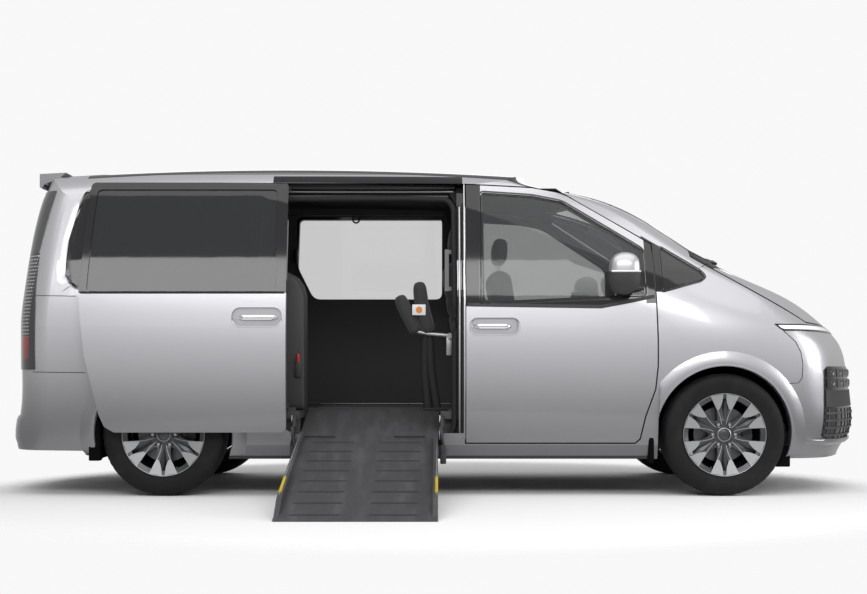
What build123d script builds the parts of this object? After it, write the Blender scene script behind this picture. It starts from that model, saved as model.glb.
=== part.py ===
from build123d import *
from build123d.topology import SkipClean
from math import asin, cos, degrees, hypot, radians, sin, sqrt, tan
import os

# Wheelchair accessible van with its right sliding door open and its side ramp down.
# Millimetres. X points to the van's front, its right side faces -Y, Z is up and the ground is z = 0.
# Modelled about the van's own centre plane, then moved so that the middle of the whole box is y = 0.

# Whole vehicle
LENGTH = 5253
HEIGHT = 1990
WHEELBASE = 3273
FRONT_OVERHANG = 955
WHEEL_FACE = 978            # outer face of a tyre from the centre plane
MIRROR_REACH = 1140         # mirror tip from the centre plane

# Wheels
TYRE_R = 358
TYRE_WIDTH = 235
RIM_R = 240                 # bright edge that shows
RIM_SEAT_R = 228
RIM_WALL = 12
TYRE_CROWN_DROP = 6
SPOKE_FACE_INSET = 22       # spoke face behind the tyre's face
SPOKE_DEPTH = 34
HUB_R = 82
SPOKE_COUNT = 6
POCKET = [(-16, 108), (16, 108), (27, 186), (0, 198), (-27, 186)]
POCKET_DEPTH = 30           # shallow pocket between two pairs of spokes
LUG_CIRCLE_R = 57
LUG_HOLE_R = 10
DISC_R = 160
DISC_THICK = 26
DISC_INSET = 105
ARCH_R = 400
LINER_THICK = 10
FRONT_HOUSE_Y = 545         # inner wall of a front wheelhouse, wide enough to steer
REAR_HOUSE_Y = 690
STEER_INSET = 165           # steering axis behind the tyre's face
LINER_END_Z = 420
FLAP_END_Z = 218            # mud flap behind each wheel
FLAP_Y = 720

# Walls
WALL = 60
ROOF_WALL = 45
GLASS_INSET = 9
GLASS_THICK = 6
SHUT = 8                    # shut line round what opens
DOOR_FLANGE = 12            # outer skin of a front door past its rear rebate
REBATE = 26
BODY_BOTTOM = 215

# Body in level slices, half of the plan outline at each height
# columns: z, rear_x, half_width, taper_x, front_x, nose_r, corner_r
BODY_SLICES = [
    (BODY_BOTTOM, -2560, 925, 1480, 2540, 1400, 330),
    (350, -2626, 966, 1480, 2608, 1400, 340),
    (560, -2601, 990, 1480, 2617, 1400, 340),
    (780, -2601, 998, 1480, 2594, 1400, 320),
    (900, -2601, 997, 1450, 2554, 1400, 300),
    (1020, -2601, 990, 1350, 2446, 1400, 270),
    (1180, -2584, 974, 1050, 2222, 1500, 240),
    (1320, -2563, 948, 850, 1900, 1700, 200),
    (1560, -2520, 888, 450, 1474, 2000, 170),
    (1800, -2452, 822, -100, 905, 2200, 150),
    (1920, -2405, 785, -450, 560, 2300, 150),
    (2060, -2340, 735, -1000, 120, 2300, 150),
]
REAR_R = 2600
REAR_CORNER_R = 190
TAPER_R = 3800

# Roof crown
ROOF_TOP_X = -900
ROOF_LONG_R = 22000
ROOF_CROSS_R = 5000
ROOF_EDGE_Y = 600
ROOF_EDGE_R = 260

# Side openings, closed positions, seen from the side as (x, z)
SILL_Z = 348
FLOOR_Z = 494
BELT_Z = 1120
SLIDE_BELT_Z = 1185
CANT_Z = 1838
FRONT_DOOR = [(165, 312), (1150, 312), (1176, 335), (1206, 468), (1262, 625), (1276, 760),
              (1276, 930), (1268, BELT_Z + 60), (1256, 1478), (740, 1795), (560, 1824), (165, CANT_Z)]
FRONT_WINDOW = [(250, BELT_Z), (1216, BELT_Z + 46), (1206, 1445), (735, 1742), (560, 1775), (250, 1792)]
SLIDE_DOOR = [(143, 375), (-850, 375), (-905, 408), (-936, 482), (-986, 695), (-1015, 812), (-1046, 1080),
              (-1053, SLIDE_BELT_Z), (-1036, 1500), (-1013, CANT_Z), (143, CANT_Z)]
SLIDE_WINDOW = [(81, SLIDE_BELT_Z), (-1009, SLIDE_BELT_Z), (-995, 1500), (-975, 1795), (81, 1795)]
QUARTER_WINDOW = [(-1130, SLIDE_BELT_Z + 15), (-2120, SLIDE_BELT_Z + 30), (-2201, 1310), (-2177, 1529),
                  (-2090, 1795), (-1130, 1795)]
FRONT_QUARTER = [(1310, BELT_Z + 76), (1545, BELT_Z + 142), (1572, 1285), (1545, 1318), (1310, 1462)]
FRONT_HANDLE = [(185, 935), (478, 935), (478, 1040), (185, 1040)]
SLIDE_HANDLE = [(-168, 980), (122, 980), (122, 1096), (-168, 1096)]
HANDLE_FLOOR_Y = 970
MIRROR_OUTLINE = [(965, 1172), (1150, 1172), (1187, 1230), (1185, 1300), (1150, 1370), (1085, 1415),
                  (1010, 1405), (968, 1330)]
MIRROR_ARM = [(1060, 1165), (1215, 1165), (1232, 1190), (1215, 1212), (1060, 1212)]
MIRROR_WIDTH = 165
SLIDE_TRAVEL = 1020
SLIDE_STAND_OFF = 92
TRACK_Z = 1822
RAIL_Z = (1128, 1172)       # centre rail of a sliding door, in a groove of the quarter panel
RAIL_FACE_Y = 966
RAIL_BACK_Y = 948
RAIL_END = -2080
RAIL_START = -1067
PILLAR_X = (110, 225)

# Bonnet, lamps and bumpers, seen from the side
BONNET_SIDE = [(1500, 1410), (1600, 1352), (2185, 1022), (2700, 990), (2700, 1700), (1500, 1700)]
FENDER_SEAM = [(1276, 150), (1276, 1600), (1500, 1600), (1600, 1352), (2185, 1022), (2030, 1013), (2075, 968),
               (2160, 895), (2196, 812), (2202, 720), (2180, 656), (1950, 656), (1950, 150)]
LAMP_STRIP = [(2030, 1013), (2185, 1022), (2230, 1040), (2700, 1010), (2700, 940), (2200, 968), (2075, 968)]
GRILLE_SIDE = [(2410, 318), (2700, 318), (2700, 757), (2430, 757), (2410, 735)]
GRILLE_END = [(-1000, 300), (1000, 300), (1000, 800), (-1000, 800)]
BUMPER_TOP = 718
TAIL_LAMP = [(-2700, 733), (-2430, 733), (-2424, 953), (-2403, 1174), (-2362, 1429), (-2272, 1795),
             (-2700, 1830)]
TAIL_LAMP_INNER_Y = 660
REAR_RISE = [(-2040, 200), (-2040, 262), (-2480, 268), (-2700, 320), (-2700, 200)]

# Windscreen and bonnet edges, seen from above: ends (x, y) and middle x
SCREEN_BASE = (1490, 800, 1800)
SCREEN_TOP = (700, 640, 872)
SCREEN_SIDE_INSET = 70
COWL_WIDTH = 85

# Tailgate, seen from behind as half-widths at heights
GATE_BOTTOM = (720, 700)
GATE_TOP_Z = 1925
GATE_TOP_Y = 690
GATE_X = -2230
GATE_WINDOW = (1210, 610, 1740, 560)
SPOILER = [(-2250, 1930), (-2495, 1917), (-2495, 1900), (-2400, 1835), (-2380, 1860), (-2290, 1895)]
SPOILER_HALF = 660
SPOILER_TIP_X = -2495

# Ramp
RAMP_HINGE_Y = -930
RAMP_REACH = 1428           # ground end from the hinge, level
RAMP_WIDTH = 804
RAMP_X = -402               # middle of the ramp
RAMP_THICK = 30
CURB_HEIGHT = 48
CURB_WIDTH = 26
RAMP_TIP = 6
RAMP_TAPER = 130
HINGE_GAP = 6
PIN_R = 6                   # ramp hinge pins, turning in brackets on the sill
PIN_REACH = 10
RUN_GAP = 0.3               # between pieces that turn or rest on each other
RAMP_SIDE_GAP = 30          # gap in the sill past each side of the ramp
NOTCH_Z = 292               # bottom of the gap in the sill that the ramp's end turns in
STRIKER_Z = 780             # height of the body's widest slice, where the door latch rests
STRIKER_X = 200
BUFFER_X = 2410             # rubber rests under the bonnet's front edge
BUFFER_Y = 170
PLATE_END_Y = -350
PLATE_THICK = 12

# Cabin
REAR_FLOOR_Z = 640
REAR_FLOOR_X = -960
FLOOR_THICK = 45
DASH_X = 1330
SEAT_Y = 385
WHEEL_CENTRE = (1080, 1060)
COLUMN_LEAN = 115           # degrees, the steering shaft runs forward and down
WHEEL_HUB_TOP = 45
COLUMN_LENGTH = 190

AXLE_FRONT = LENGTH / 2 - FRONT_OVERHANG
AXLE_REAR = AXLE_FRONT - WHEELBASE
STEER_Y = WHEEL_FACE - STEER_INSET
RAMP_LENGTH = hypot(RAMP_REACH, SILL_Z)
RAMP_SLOPE = degrees(asin((SILL_Z - RAMP_TIP) / RAMP_LENGTH))
RAMP_END_Y = RAMP_HINGE_Y - RAMP_REACH
STRIKER_FACE_Y = max(row[2] for row in BODY_SLICES) - WALL - RUN_GAP
SHIFT_Y = -(RAMP_END_Y + MIRROR_REACH) / 2

ALL = {}


def save(name, shape):
    ALL[name] = shape


def face_of(points):
    return Face(Wire.make_polygon([Vector(*p) for p in points]))


def side_prism(points, y0, y1, radius=0):
    """a side-view outline of (x, z) points drawn out from y0 to y1"""
    face = face_of([(x, y0, z) for x, z in points])
    if radius:
        face = face.fillet_2d(radius, face.vertices())
    return Solid.extrude(face, Vector(0, y1 - y0, 0))


def end_prism(points, x0, x1, radius=0):
    """an end-view outline of (y, z) points drawn out from x0 to x1"""
    face = face_of([(x0, y, z) for y, z in points])
    if radius:
        face = face.fillet_2d(radius, face.vertices())
    return Solid.extrude(face, Vector(x1 - x0, 0, 0))


def block(x0, x1, y0, y1, z0, z1):
    return Pos((x0 + x1) / 2, (y0 + y1) / 2, (z0 + z1) / 2) * Box(x1 - x0, y1 - y0, z1 - z0)


def cylinder_y(x, z, radius, y0, y1):
    return Pos(x, (y0 + y1) / 2, z) * Rot(90, 0, 0) * Cylinder(radius, y1 - y0)


def mirrored(shape):
    return mirror(shape, about=Plane.XZ)


def pair(shape):
    """the shape's right and left solids as one object"""
    return Compound(children=sorted(shape.solids(), key=lambda s: -s.volume)[:2])


def largest(shape):
    return sorted(shape.solids(), key=lambda s: -s.volume)[0]


def cut(shape, *tools):
    """the shape less the tools, all in one step"""
    return shape.cut(*tools)


def common(shape, tool):
    return shape & tool


# Plan outline of one slice

def inner_corner(a, ra, b, rb, r):
    """centre of the circle of radius r that touches two larger circles from inside"""
    dx, dy = b[0] - a[0], b[1] - a[1]
    d = hypot(dx, dy)
    p, q = ra - r, rb - r
    k = (d * d + p * p - q * q) / (2 * d)
    h = sqrt(p * p - k * k)
    ends = [(a[0] + k * dx / d + s * h * dy / d, a[1] + k * dy / d - s * h * dx / d) for s in (1, -1)]
    return max(ends, key=lambda c: c[0] + c[1])


def on_circle(centre, r, through):
    dx, dy = through[0] - centre[0], through[1] - centre[1]
    d = hypot(dx, dy)
    return (centre[0] + dx * r / d, centre[1] + dy * r / d)


def middle_of(centre, r, a, b):
    return on_circle(centre, r, ((a[0] + b[0]) / 2, (a[1] + b[1]) / 2))


def slice_wire(row, inset):
    z, rear_x, half, taper_x, front_x, nose_r, corner_r = row
    rear_x, front_x = rear_x + inset, front_x - inset
    half, nose_r, corner_r = half - inset, nose_r - inset, corner_r - inset
    taper_r, rear_r, tail_r = TAPER_R - inset, REAR_R - inset, REAR_CORNER_R - inset
    rear_c = (rear_x + rear_r, 0)
    taper_c = (taper_x, half - taper_r)
    nose_c = (front_x - nose_r, 0)
    tail_y = half - tail_r
    tail_c = (rear_c[0] - sqrt((rear_r - tail_r) ** 2 - tail_y ** 2), tail_y)
    front_c = inner_corner(taper_c, taper_r, nose_c, nose_r, corner_r)
    a, b = on_circle(rear_c, rear_r, tail_c), (tail_c[0], half)
    c = (taper_x, half)
    d, e = on_circle(taper_c, taper_r, front_c), on_circle(nose_c, nose_r, front_c)
    rear_mid, front_mid = (rear_x, 0), (front_x, 0)
    arcs = [(rear_c, rear_r, rear_mid, a), (tail_c, tail_r, a, b), (None, 0, b, c),
            (taper_c, taper_r, c, d), (front_c, corner_r, d, e), (nose_c, nose_r, e, front_mid)]
    left = [half_edge(z, 1, *arc) for arc in arcs]
    right = [half_edge(z, -1, centre, r, q, p) for centre, r, p, q in reversed(arcs)]
    return Wire(left + right)


def half_edge(z, side, centre, r, p, q):
    start, end = (p[0], side * p[1], z), (q[0], side * q[1], z)
    if centre is None:
        return Edge.make_line(start, end)
    m = middle_of(centre, r, p, q)
    return Edge.make_three_point_arc(start, (m[0], side * m[1], z), end)


def roof_form(drop):
    """everything below the doubly curved roof surface, drop under the outer one"""
    edge_r, cross_r = ROOF_EDGE_R - drop, ROOF_CROSS_R - drop
    top = HEIGHT - drop
    angle = asin(ROOF_EDGE_Y / (cross_r - edge_r))
    cy, cz = ROOF_EDGE_Y, top - cross_r + (cross_r - edge_r) * cos(angle)
    join = (cy + edge_r * sin(angle), cz + edge_r * cos(angle))
    turn = radians(75)
    low = (cy + edge_r * sin(turn), cz + edge_r * cos(turn))
    half_turn = (angle + turn) / 2
    mid = (cy + edge_r * sin(half_turn), cz + edge_r * cos(half_turn))
    wide, base = 1300, 60
    edges = [Edge.make_three_point_arc((0, -join[0], join[1]), (0, 0, top), (0, *join)),
             Edge.make_three_point_arc((0, *join), (0, *mid), (0, *low)),
             Edge.make_line((0, *low), (0, wide, low[1] - (wide - low[0]) / tan(radians(15)))),
             Edge.make_line((0, wide, low[1] - (wide - low[0]) / tan(radians(15))), (0, wide, base)),
             Edge.make_line((0, wide, base), (0, -wide, base)),
             Edge.make_line((0, -wide, base), (0, -wide, low[1] - (wide - low[0]) / tan(radians(15)))),
             Edge.make_line((0, -wide, low[1] - (wide - low[0]) / tan(radians(15))), (0, -low[0], low[1])),
             Edge.make_three_point_arc((0, -low[0], low[1]), (0, -mid[0], mid[1]), (0, -join[0], join[1]))]
    face = Face(Wire(edges)).moved(Location((ROOF_TOP_X, 0, 0)))
    axis = Axis((ROOF_TOP_X, 0, HEIGHT - ROOF_LONG_R), (0, 1, 0))
    sweep = 24
    return Solid.revolve(face.rotate(axis, -sweep / 2), sweep, axis)


def body_form(inset, roof_drop):
    form = Solid.make_loft([slice_wire(row, inset) for row in BODY_SLICES], ruled=False)
    return form & roof_form(roof_drop)


# Body shell and the panels cut from it

def grown(points, gap, y0=-1300, y1=-300):
    """an outline grown by a gap all round, as a side prism"""
    face = face_of([(x, y0, z) for x, z in points])
    wire = face.outer_wire().offset_2d(gap, Kind.INTERSECTION)
    return Solid.extrude(Face(wire), Vector(0, y1 - y0, 0))


def arc_plan(ends_x, ends_y, mid_x, back_x, z0, z1):
    """plan area from an arc, bulging forward, back to back_x"""
    wire = Wire([Edge.make_three_point_arc((ends_x, -ends_y, z0), (mid_x, 0, z0), (ends_x, ends_y, z0)),
                 Edge.make_line((ends_x, ends_y, z0), (back_x, ends_y, z0)),
                 Edge.make_line((back_x, ends_y, z0), (back_x, -ends_y, z0)),
                 Edge.make_line((back_x, -ends_y, z0), (ends_x, -ends_y, z0))])
    return Solid.extrude(Face(wire), Vector(0, 0, z1 - z0))


def screen_area():
    """windscreen outline from above: two arcs and two straight sides"""
    bx, by, bm = SCREEN_BASE
    tx, ty, tm = SCREEN_TOP
    by, ty = by - SCREEN_SIDE_INSET, ty - SCREEN_SIDE_INSET
    z = 1150
    wire = Wire([Edge.make_three_point_arc((bx, -by, z), (bm, 0, z), (bx, by, z)),
                 Edge.make_line((bx, by, z), (tx, ty, z)),
                 Edge.make_three_point_arc((tx, ty, z), (tm, 0, z), (tx, -ty, z)),
                 Edge.make_line((tx, -ty, z), (bx, -by, z))])
    return Solid.extrude(Face(wire), Vector(0, 0, 900))


def make_glass_forms():
    deep = GLASS_INSET + GLASS_THICK
    return body_form(GLASS_INSET, GLASS_INSET), body_form(deep, deep)


def pane(glass, area):
    """the glass that fills an area drawn through the body"""
    outside, inside = glass
    return largest(cut(common(area, outside), inside))


def make_nose(nose, screen):
    """everything ahead of the front doors"""
    bx, by, bm = SCREEN_BASE
    nose = cut(nose, screen)
    bonnet_area = side_prism(BONNET_SIDE, -1300, 1300)
    ahead = bx + COWL_WIDTH
    cowl = arc_plan(ahead, by + 100, bm + COWL_WIDTH, bx - 300, 1150, 1600)
    cowl_seat = arc_plan(ahead + SHUT, by + 100, bm + COWL_WIDTH + SHUT, bx - 300, 1150, 1600)
    upper = common(nose, bonnet_area)
    save("bonnet", largest(cut(upper, cowl_seat)))
    save("cowl_panel", largest(common(upper, cowl)))
    lower = cut(nose, grown(BONNET_SIDE, SHUT, -1300, 1300))
    lamps = side_prism(LAMP_STRIP, -1300, 1300)
    grille = common(end_prism(GRILLE_END, 2200, 3000, 30), side_prism(GRILLE_SIDE, -1300, 1300))
    fender = side_prism(FENDER_SEAM, -1300, 1300)
    save("front_lamps", largest(common(lower, lamps).fuse(*bonnet_buffers())))
    lower = cut(lower, lamps)
    quarters = side_prism(FRONT_QUARTER, -1300, 1300, 12)
    save("front_fenders", pair(cut(common(lower, fender), quarters)))
    bumper = cut(lower, fender)
    save("front_bumper", largest(cut(bumper, grille)))
    save("front_grille", largest(cut(common(bumper, grille), body_form(30, 30))))


def bonnet_buffers():
    """rubber rests on the lamp bar that reach up to the bonnet's edge"""
    (xa, za), (xb, zb) = BONNET_SIDE[2], BONNET_SIDE[3]

    def edge_z(x):
        return za + (x - xa) * (zb - za) / (xb - xa)

    x0, x1 = BUFFER_X - 12, BUFFER_X + 12
    outline = [(x0, edge_z(x0) - SHUT - 6), (x1, edge_z(x1) - SHUT - 6),
               (x1, edge_z(x1) - RUN_GAP), (x0, edge_z(x0) - RUN_GAP)]
    return [side_prism(outline, y - 20, y + 20) for y in (-BUFFER_Y, BUFFER_Y)]


def make_tail(tail, glass):
    """everything behind the tailgate's front edge"""
    z0, y0, z1, y1 = GATE_WINDOW
    gate_glass = end_prism([(-y0, z0), (y0, z0), (y1, z1), (-y1, z1)], -3000, -2200, 40)
    save("rear_window", pane(glass, gate_glass))
    gate_z, gate_y = GATE_BOTTOM
    gate_outline = [(-gate_y, gate_z), (gate_y, gate_z),
                    (GATE_TOP_Y, GATE_TOP_Z + 60), (-GATE_TOP_Y, GATE_TOP_Z + 60)]
    gate = end_prism(gate_outline, -3000, GATE_X)
    grown_gate = end_prism([(-gate_y - SHUT, gate_z - 2 * SHUT), (gate_y + SHUT, gate_z - 2 * SHUT),
                            (GATE_TOP_Y + SHUT, GATE_TOP_Z + 90), (-GATE_TOP_Y - SHUT, GATE_TOP_Z + 90)],
                           -3000, GATE_X + SHUT)
    lip = common(side_prism(SPOILER, -SPOILER_HALF, SPOILER_HALF),
                 Pos(SPOILER_TIP_X + REAR_R, 0, 1800) * Cylinder(REAR_R, 400))
    save("tailgate", largest(cut(common(tail, gate), gate_glass).fuse(largest(lip))))
    tail = cut(tail, grown_gate)
    lamp = cut(side_prism(TAIL_LAMP, -1300, 1300),
               block(-3000, 3000, -TAIL_LAMP_INNER_Y, TAIL_LAMP_INNER_Y, 0, 2200))
    save("tail_lamps", pair(common(tail, lamp)))
    return cut(tail, lamp)


def make_side_panels(whole, glass):
    """doors and side glass, made on the right and mirrored"""
    far_out = -1300
    front_door = side_prism(FRONT_DOOR, far_out, -300)
    front_window = side_prism(FRONT_WINDOW, far_out, -300, 25)
    slide_door = side_prism(SLIDE_DOOR, far_out, -300, 30)
    slide_window = side_prism(SLIDE_WINDOW, far_out, -300, 30)
    quarter = side_prism(QUARTER_WINDOW, far_out, -300, 25)
    front_quarter = side_prism(FRONT_QUARTER, far_out, -300, 12)
    rear_x = FRONT_DOOR[0][0]
    rebate = common(block(rear_x - 5, rear_x + REBATE, far_out, -300, 200, 2000),
                    body_form(DOOR_FLANGE, DOOR_FLANGE))
    door = common(whole, front_door)
    door = largest(cut(door, front_window, cylinder_y(AXLE_FRONT, TYRE_R, ARCH_R + SHUT, far_out, 0), rebate,
                       side_prism(FRONT_HANDLE, far_out, -HANDLE_FLOOR_Y, 45)))
    door_glass = pane(glass, front_window)
    slider = largest(cut(common(whole, slide_door), slide_window,
                         side_prism(SLIDE_HANDLE, far_out, -HANDLE_FLOOR_Y, 50)))
    slider_glass = pane(glass, slide_window)
    opened = Location((-SLIDE_TRAVEL, -SLIDE_STAND_OFF, 0))
    save("front_door_right", door)
    save("front_door_left", mirrored(door))
    save("front_door_glass_right", door_glass)
    save("front_door_glass_left", mirrored(door_glass))
    save("sliding_door_right", slider.moved(opened))
    save("sliding_door_left", mirrored(slider))
    save("sliding_door_glass_right", slider_glass.moved(opened))
    save("sliding_door_glass_left", mirrored(slider_glass))
    fixed = [pane(glass, quarter), pane(glass, front_quarter)]
    save("fixed_side_glass", Compound(children=fixed + [mirrored(g) for g in fixed]))
    return quarter


def make_body():
    outer, inner = body_form(0, 0), body_form(WALL, ROOF_WALL)
    shell = cut(outer, inner)
    glass = make_glass_forms()
    screen = screen_area()
    save("windscreen", pane(glass, screen))
    arches = [cylinder_y(x, TYRE_R, ARCH_R, -1300, 1300) for x in (AXLE_FRONT, AXLE_REAR)]
    door_front = max(x for x, z in FRONT_DOOR) + SHUT
    nose = common(shell, block(door_front, 3000, -1300, 1300, 0, 2200))
    make_nose(cut(nose, arches[0]), screen)
    tail_x = AXLE_REAR
    tail = common(shell, block(-3000, tail_x, -1300, 1300, 0, 2200))
    bumper_area = block(-3000, tail_x, -1300, 1300, 0, BUMPER_TOP - SHUT)
    rear_bumper = cut(common(tail, bumper_area), arches[1], side_prism(REAR_RISE, -1300, 1300))
    latch_x = BODY_SLICES[3][1] + WALL / 2
    latch = block(latch_x - 15, latch_x + 15, -30, 30, BUMPER_TOP - SHUT - 10, GATE_BOTTOM[0] - RUN_GAP)
    save("rear_bumper", largest(rear_bumper.fuse(latch)))
    above = cut(tail, block(-3000, tail_x, -1300, 1300, 0, BUMPER_TOP - SHUT), arches[1])
    tail = make_tail(above, glass)
    whole = common(shell, block(tail_x - 600, door_front, -1300, 0, 0, 2200))
    quarter = make_side_panels(whole, glass)

    middle = common(shell, block(tail_x, door_front, -1300, 0, 0, 2200))
    nose_rest = common(cut(nose, arches[0], screen), block(0, 3000, -1300, 0, 0, 2200))
    nose_rest = cut(nose_rest, grown(BONNET_SIDE, SHUT, -1300, 1300), side_prism(FENDER_SEAM, -1300, 1300))
    roof_area = block(-3000, 3000, -640, 640, 1700, 2200)
    groove = block(RAIL_END, RAIL_START, -1300, -RAIL_BACK_Y, *RAIL_Z)
    notch_x = RAMP_WIDTH / 2 + RAMP_SIDE_GAP
    notch = block(RAMP_X - notch_x, RAMP_X + notch_x, -1300, -700, NOTCH_Z, 420)
    middle = cut(middle, arches[1], screen, grown(FRONT_DOOR, SHUT), grown(SLIDE_DOOR, SHUT), quarter, groove)
    tail_half = cut(common(tail, block(-3000, 3000, -1300, 0, 0, 2200)), quarter, groove)
    side = middle.fuse(tail_half)
    save("roof_panel", make_roof(shell, screen, roof_area))
    clear = body_form(WALL + SHUT, ROOF_WALL + SHUT)
    side = cut(side, roof_area).fuse(cut(make_pillars(inner, clear), roof_area))
    save("body_side_left", mirrored(largest(side)))
    save("body_side_right", largest(cut(side, notch).fuse(*ramp_brackets())))
    return outer, inner, clear


def ramp_brackets():
    """ears on the sill that carry the ramp's hinge pins"""
    near, far = RAMP_WIDTH / 2 + PIN_REACH, RAMP_WIDTH / 2 + RAMP_SIDE_GAP + 5
    ears = []
    for side in (-1, 1):
        x0, x1 = sorted((RAMP_X + side * near, RAMP_X + side * far))
        ears.append(block(x0, x1, RAMP_HINGE_Y - 22, RAMP_HINGE_Y + 22, SILL_Z - 30, SILL_Z + 12))
    return ears


def make_roof(shell, screen, roof_area):
    roof = common(shell, roof_area)
    return largest(cut(roof, screen, block(-3000, GATE_X + SHUT, -1300, 1300, 0, 2200)))


def make_floor(inner, clear):
    half = 1200
    back = REAR_FLOOR_X - FLOOR_THICK
    profile = [(1520, 900), (1520 + FLOOR_THICK, 900), (1520 + FLOOR_THICK, 740),
               (DASH_X + FLOOR_THICK, FLOOR_Z - FLOOR_THICK), (back, FLOOR_Z - FLOOR_THICK),
               (back, REAR_FLOOR_Z - FLOOR_THICK), (-2480, REAR_FLOOR_Z - FLOOR_THICK),
               (-2480, REAR_FLOOR_Z), (REAR_FLOOR_X, REAR_FLOOR_Z), (REAR_FLOOR_X, FLOOR_Z), (DASH_X, FLOOR_Z),
               (1520, 740)]
    slab = common(side_prism(profile, -half, half), clear)
    front_sill, rear_sill = AXLE_FRONT - ARCH_R - 30, AXLE_REAR + ARCH_R + 30
    beams = []
    for side in (-1, 1):
        y0, y1 = sorted((side * half, side * 800))
        beams.append(common(block(rear_sill, front_sill, y0, y1, 240, FRONT_DOOR[0][1] - SHUT), inner))
        y0, y1 = sorted((side * 860, side * 800))
        beams.append(block(rear_sill, front_sill, y0, y1, 300, FLOOR_Z - FLOOR_THICK + 5))
    slab = slab.fuse(*beams)
    houses = []
    for x, wall in ((AXLE_FRONT, FRONT_HOUSE_Y), (AXLE_REAR, REAR_HOUSE_Y)):
        for side in (-1, 1):
            y0, y1 = sorted((side * (wall - LINER_THICK), side * half))
            houses.append(cylinder_y(x, TYRE_R, ARCH_R + LINER_THICK, y0, y1))
    x0, x1 = RAMP_X - RAMP_WIDTH / 2 - 15, RAMP_X + RAMP_WIDTH / 2 + 15
    well = block(x0, x1, -half, PLATE_END_Y, SILL_Z - PLATE_THICK, 900)
    slab = cut(slab, *houses, well)
    under = 30
    edge = RAMP_HINGE_Y + 50
    pan = end_prism([(edge, SILL_Z - PLATE_THICK - under), (edge, SILL_Z - PLATE_THICK),
                     (PLATE_END_Y + 20, FLOOR_Z - PLATE_THICK), (PLATE_END_Y + 20, FLOOR_Z - FLOOR_THICK)], x0, x1)
    behind = block(-3000, REAR_FLOOR_X, -half, half, FLOOR_Z, 900)
    save("rear_floor", largest(common(slab, behind)))
    save("floor_pan", largest(cut(slab, behind).fuse(common(pan, inner))))
    start = RAMP_HINGE_Y + HINGE_GAP
    slope = [(start, SILL_Z - PLATE_THICK), (start, SILL_Z), (PLATE_END_Y, FLOOR_Z),
             (PLATE_END_Y, FLOOR_Z - PLATE_THICK)]
    save("bridging_plate", end_prism(slope, x0 + 8, x1 - 8))


def make_liners(inner):
    for name, x, house in (("front_wheel_liners", AXLE_FRONT, FRONT_HOUSE_Y),
                           ("rear_wheel_liners", AXLE_REAR, REAR_HOUSE_Y)):
        drum = cylinder_y(x, TYRE_R, ARCH_R + LINER_THICK, -1000, -house + LINER_THICK)
        away = [cylinder_y(x, TYRE_R, ARCH_R, -1000, -house), block(x, x + 600, -1300, 0, -200, LINER_END_Z),
                block(x - 600, x, -1300, 0, -200, FLAP_END_Z), block(x - 600, x, -FLAP_Y, 0, -200, LINER_END_Z),
                block(x - 600, FRONT_DOOR[6][0] + SHUT, -1300, -880, LINER_END_Z, 1000)]
        if x < 0:
            away = away[:-1]
        liner = largest(common(cut(drum, *away), inner))
        save(name, Compound(children=[liner, mirrored(liner)]))


# Wheels

def make_wheel():
    """a right wheel at the origin, its face at y = 0: the tyre and the alloy rim with its disc"""
    side_r, shoulder_r = TYRE_R - 50, TYRE_R - 14
    near = [(RIM_SEAT_R, 12), (RIM_R + 6, 6), (side_r, 0), (shoulder_r, 14), (TYRE_R - TYRE_CROWN_DROP, 32)]
    far = [(r, TYRE_WIDTH - d) for r, d in reversed(near)]
    tyre = revolved(near + [(TYRE_R, TYRE_WIDTH / 2)] + far)
    well_r = RIM_SEAT_R - RIM_WALL
    barrel = revolved([(RIM_SEAT_R, 12), (RIM_SEAT_R, TYRE_WIDTH - 12), (well_r, TYRE_WIDTH - 12), (well_r, 12)])
    lip = revolved([(RIM_R, 4), (RIM_R, 8), (RIM_SEAT_R, 12), (well_r, 40), (well_r - 6, 16)])
    face_end = well_r + 4
    disc_face = revolved([(0, SPOKE_FACE_INSET - 8), (HUB_R, SPOKE_FACE_INSET), (face_end, 16),
                          (face_end, 16 + SPOKE_DEPTH), (HUB_R, SPOKE_FACE_INSET + SPOKE_DEPTH), (HUB_R, 90), (0, 90)])
    window = spoke_window()
    pocket = side_prism(POCKET, -5, POCKET_DEPTH, 6)
    holes = []
    for i in range(SPOKE_COUNT):
        turn = 360 / SPOKE_COUNT * (i + 0.5)
        holes.append(window.rotate(Axis.Y, turn))
        holes.append(pocket.rotate(Axis.Y, turn + 180 / SPOKE_COUNT))
        holes.append(cylinder_y(0, LUG_CIRCLE_R, LUG_HOLE_R, -5, 34).rotate(Axis.Y, turn))
    far_side = DISC_INSET + DISC_THICK
    brake = revolved([(40, DISC_INSET), (DISC_R, DISC_INSET), (DISC_R, far_side), (40, far_side)])
    hub = revolved([(0, 60), (62, 60), (62, far_side), (0, far_side)])
    rim = cut(disc_face, *holes).fuse(barrel, lip, brake, hub)
    return tyre, largest(rim).clean()


def revolved(profile):
    """a profile of (radius, depth) points turned about the wheel's axis; depth runs inwards, +Y"""
    return Solid.revolve(face_of([(r, d, 0) for r, d in profile]), 360, Axis.Y)


def spoke_window():
    """one opening between a pair of spokes, at the top of the wheel"""
    outline = [(-26, 96), (26, 96), (62, 196), (48, 208), (-48, 208), (-62, 196)]
    return side_prism(outline, -5, 100, 8)


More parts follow.
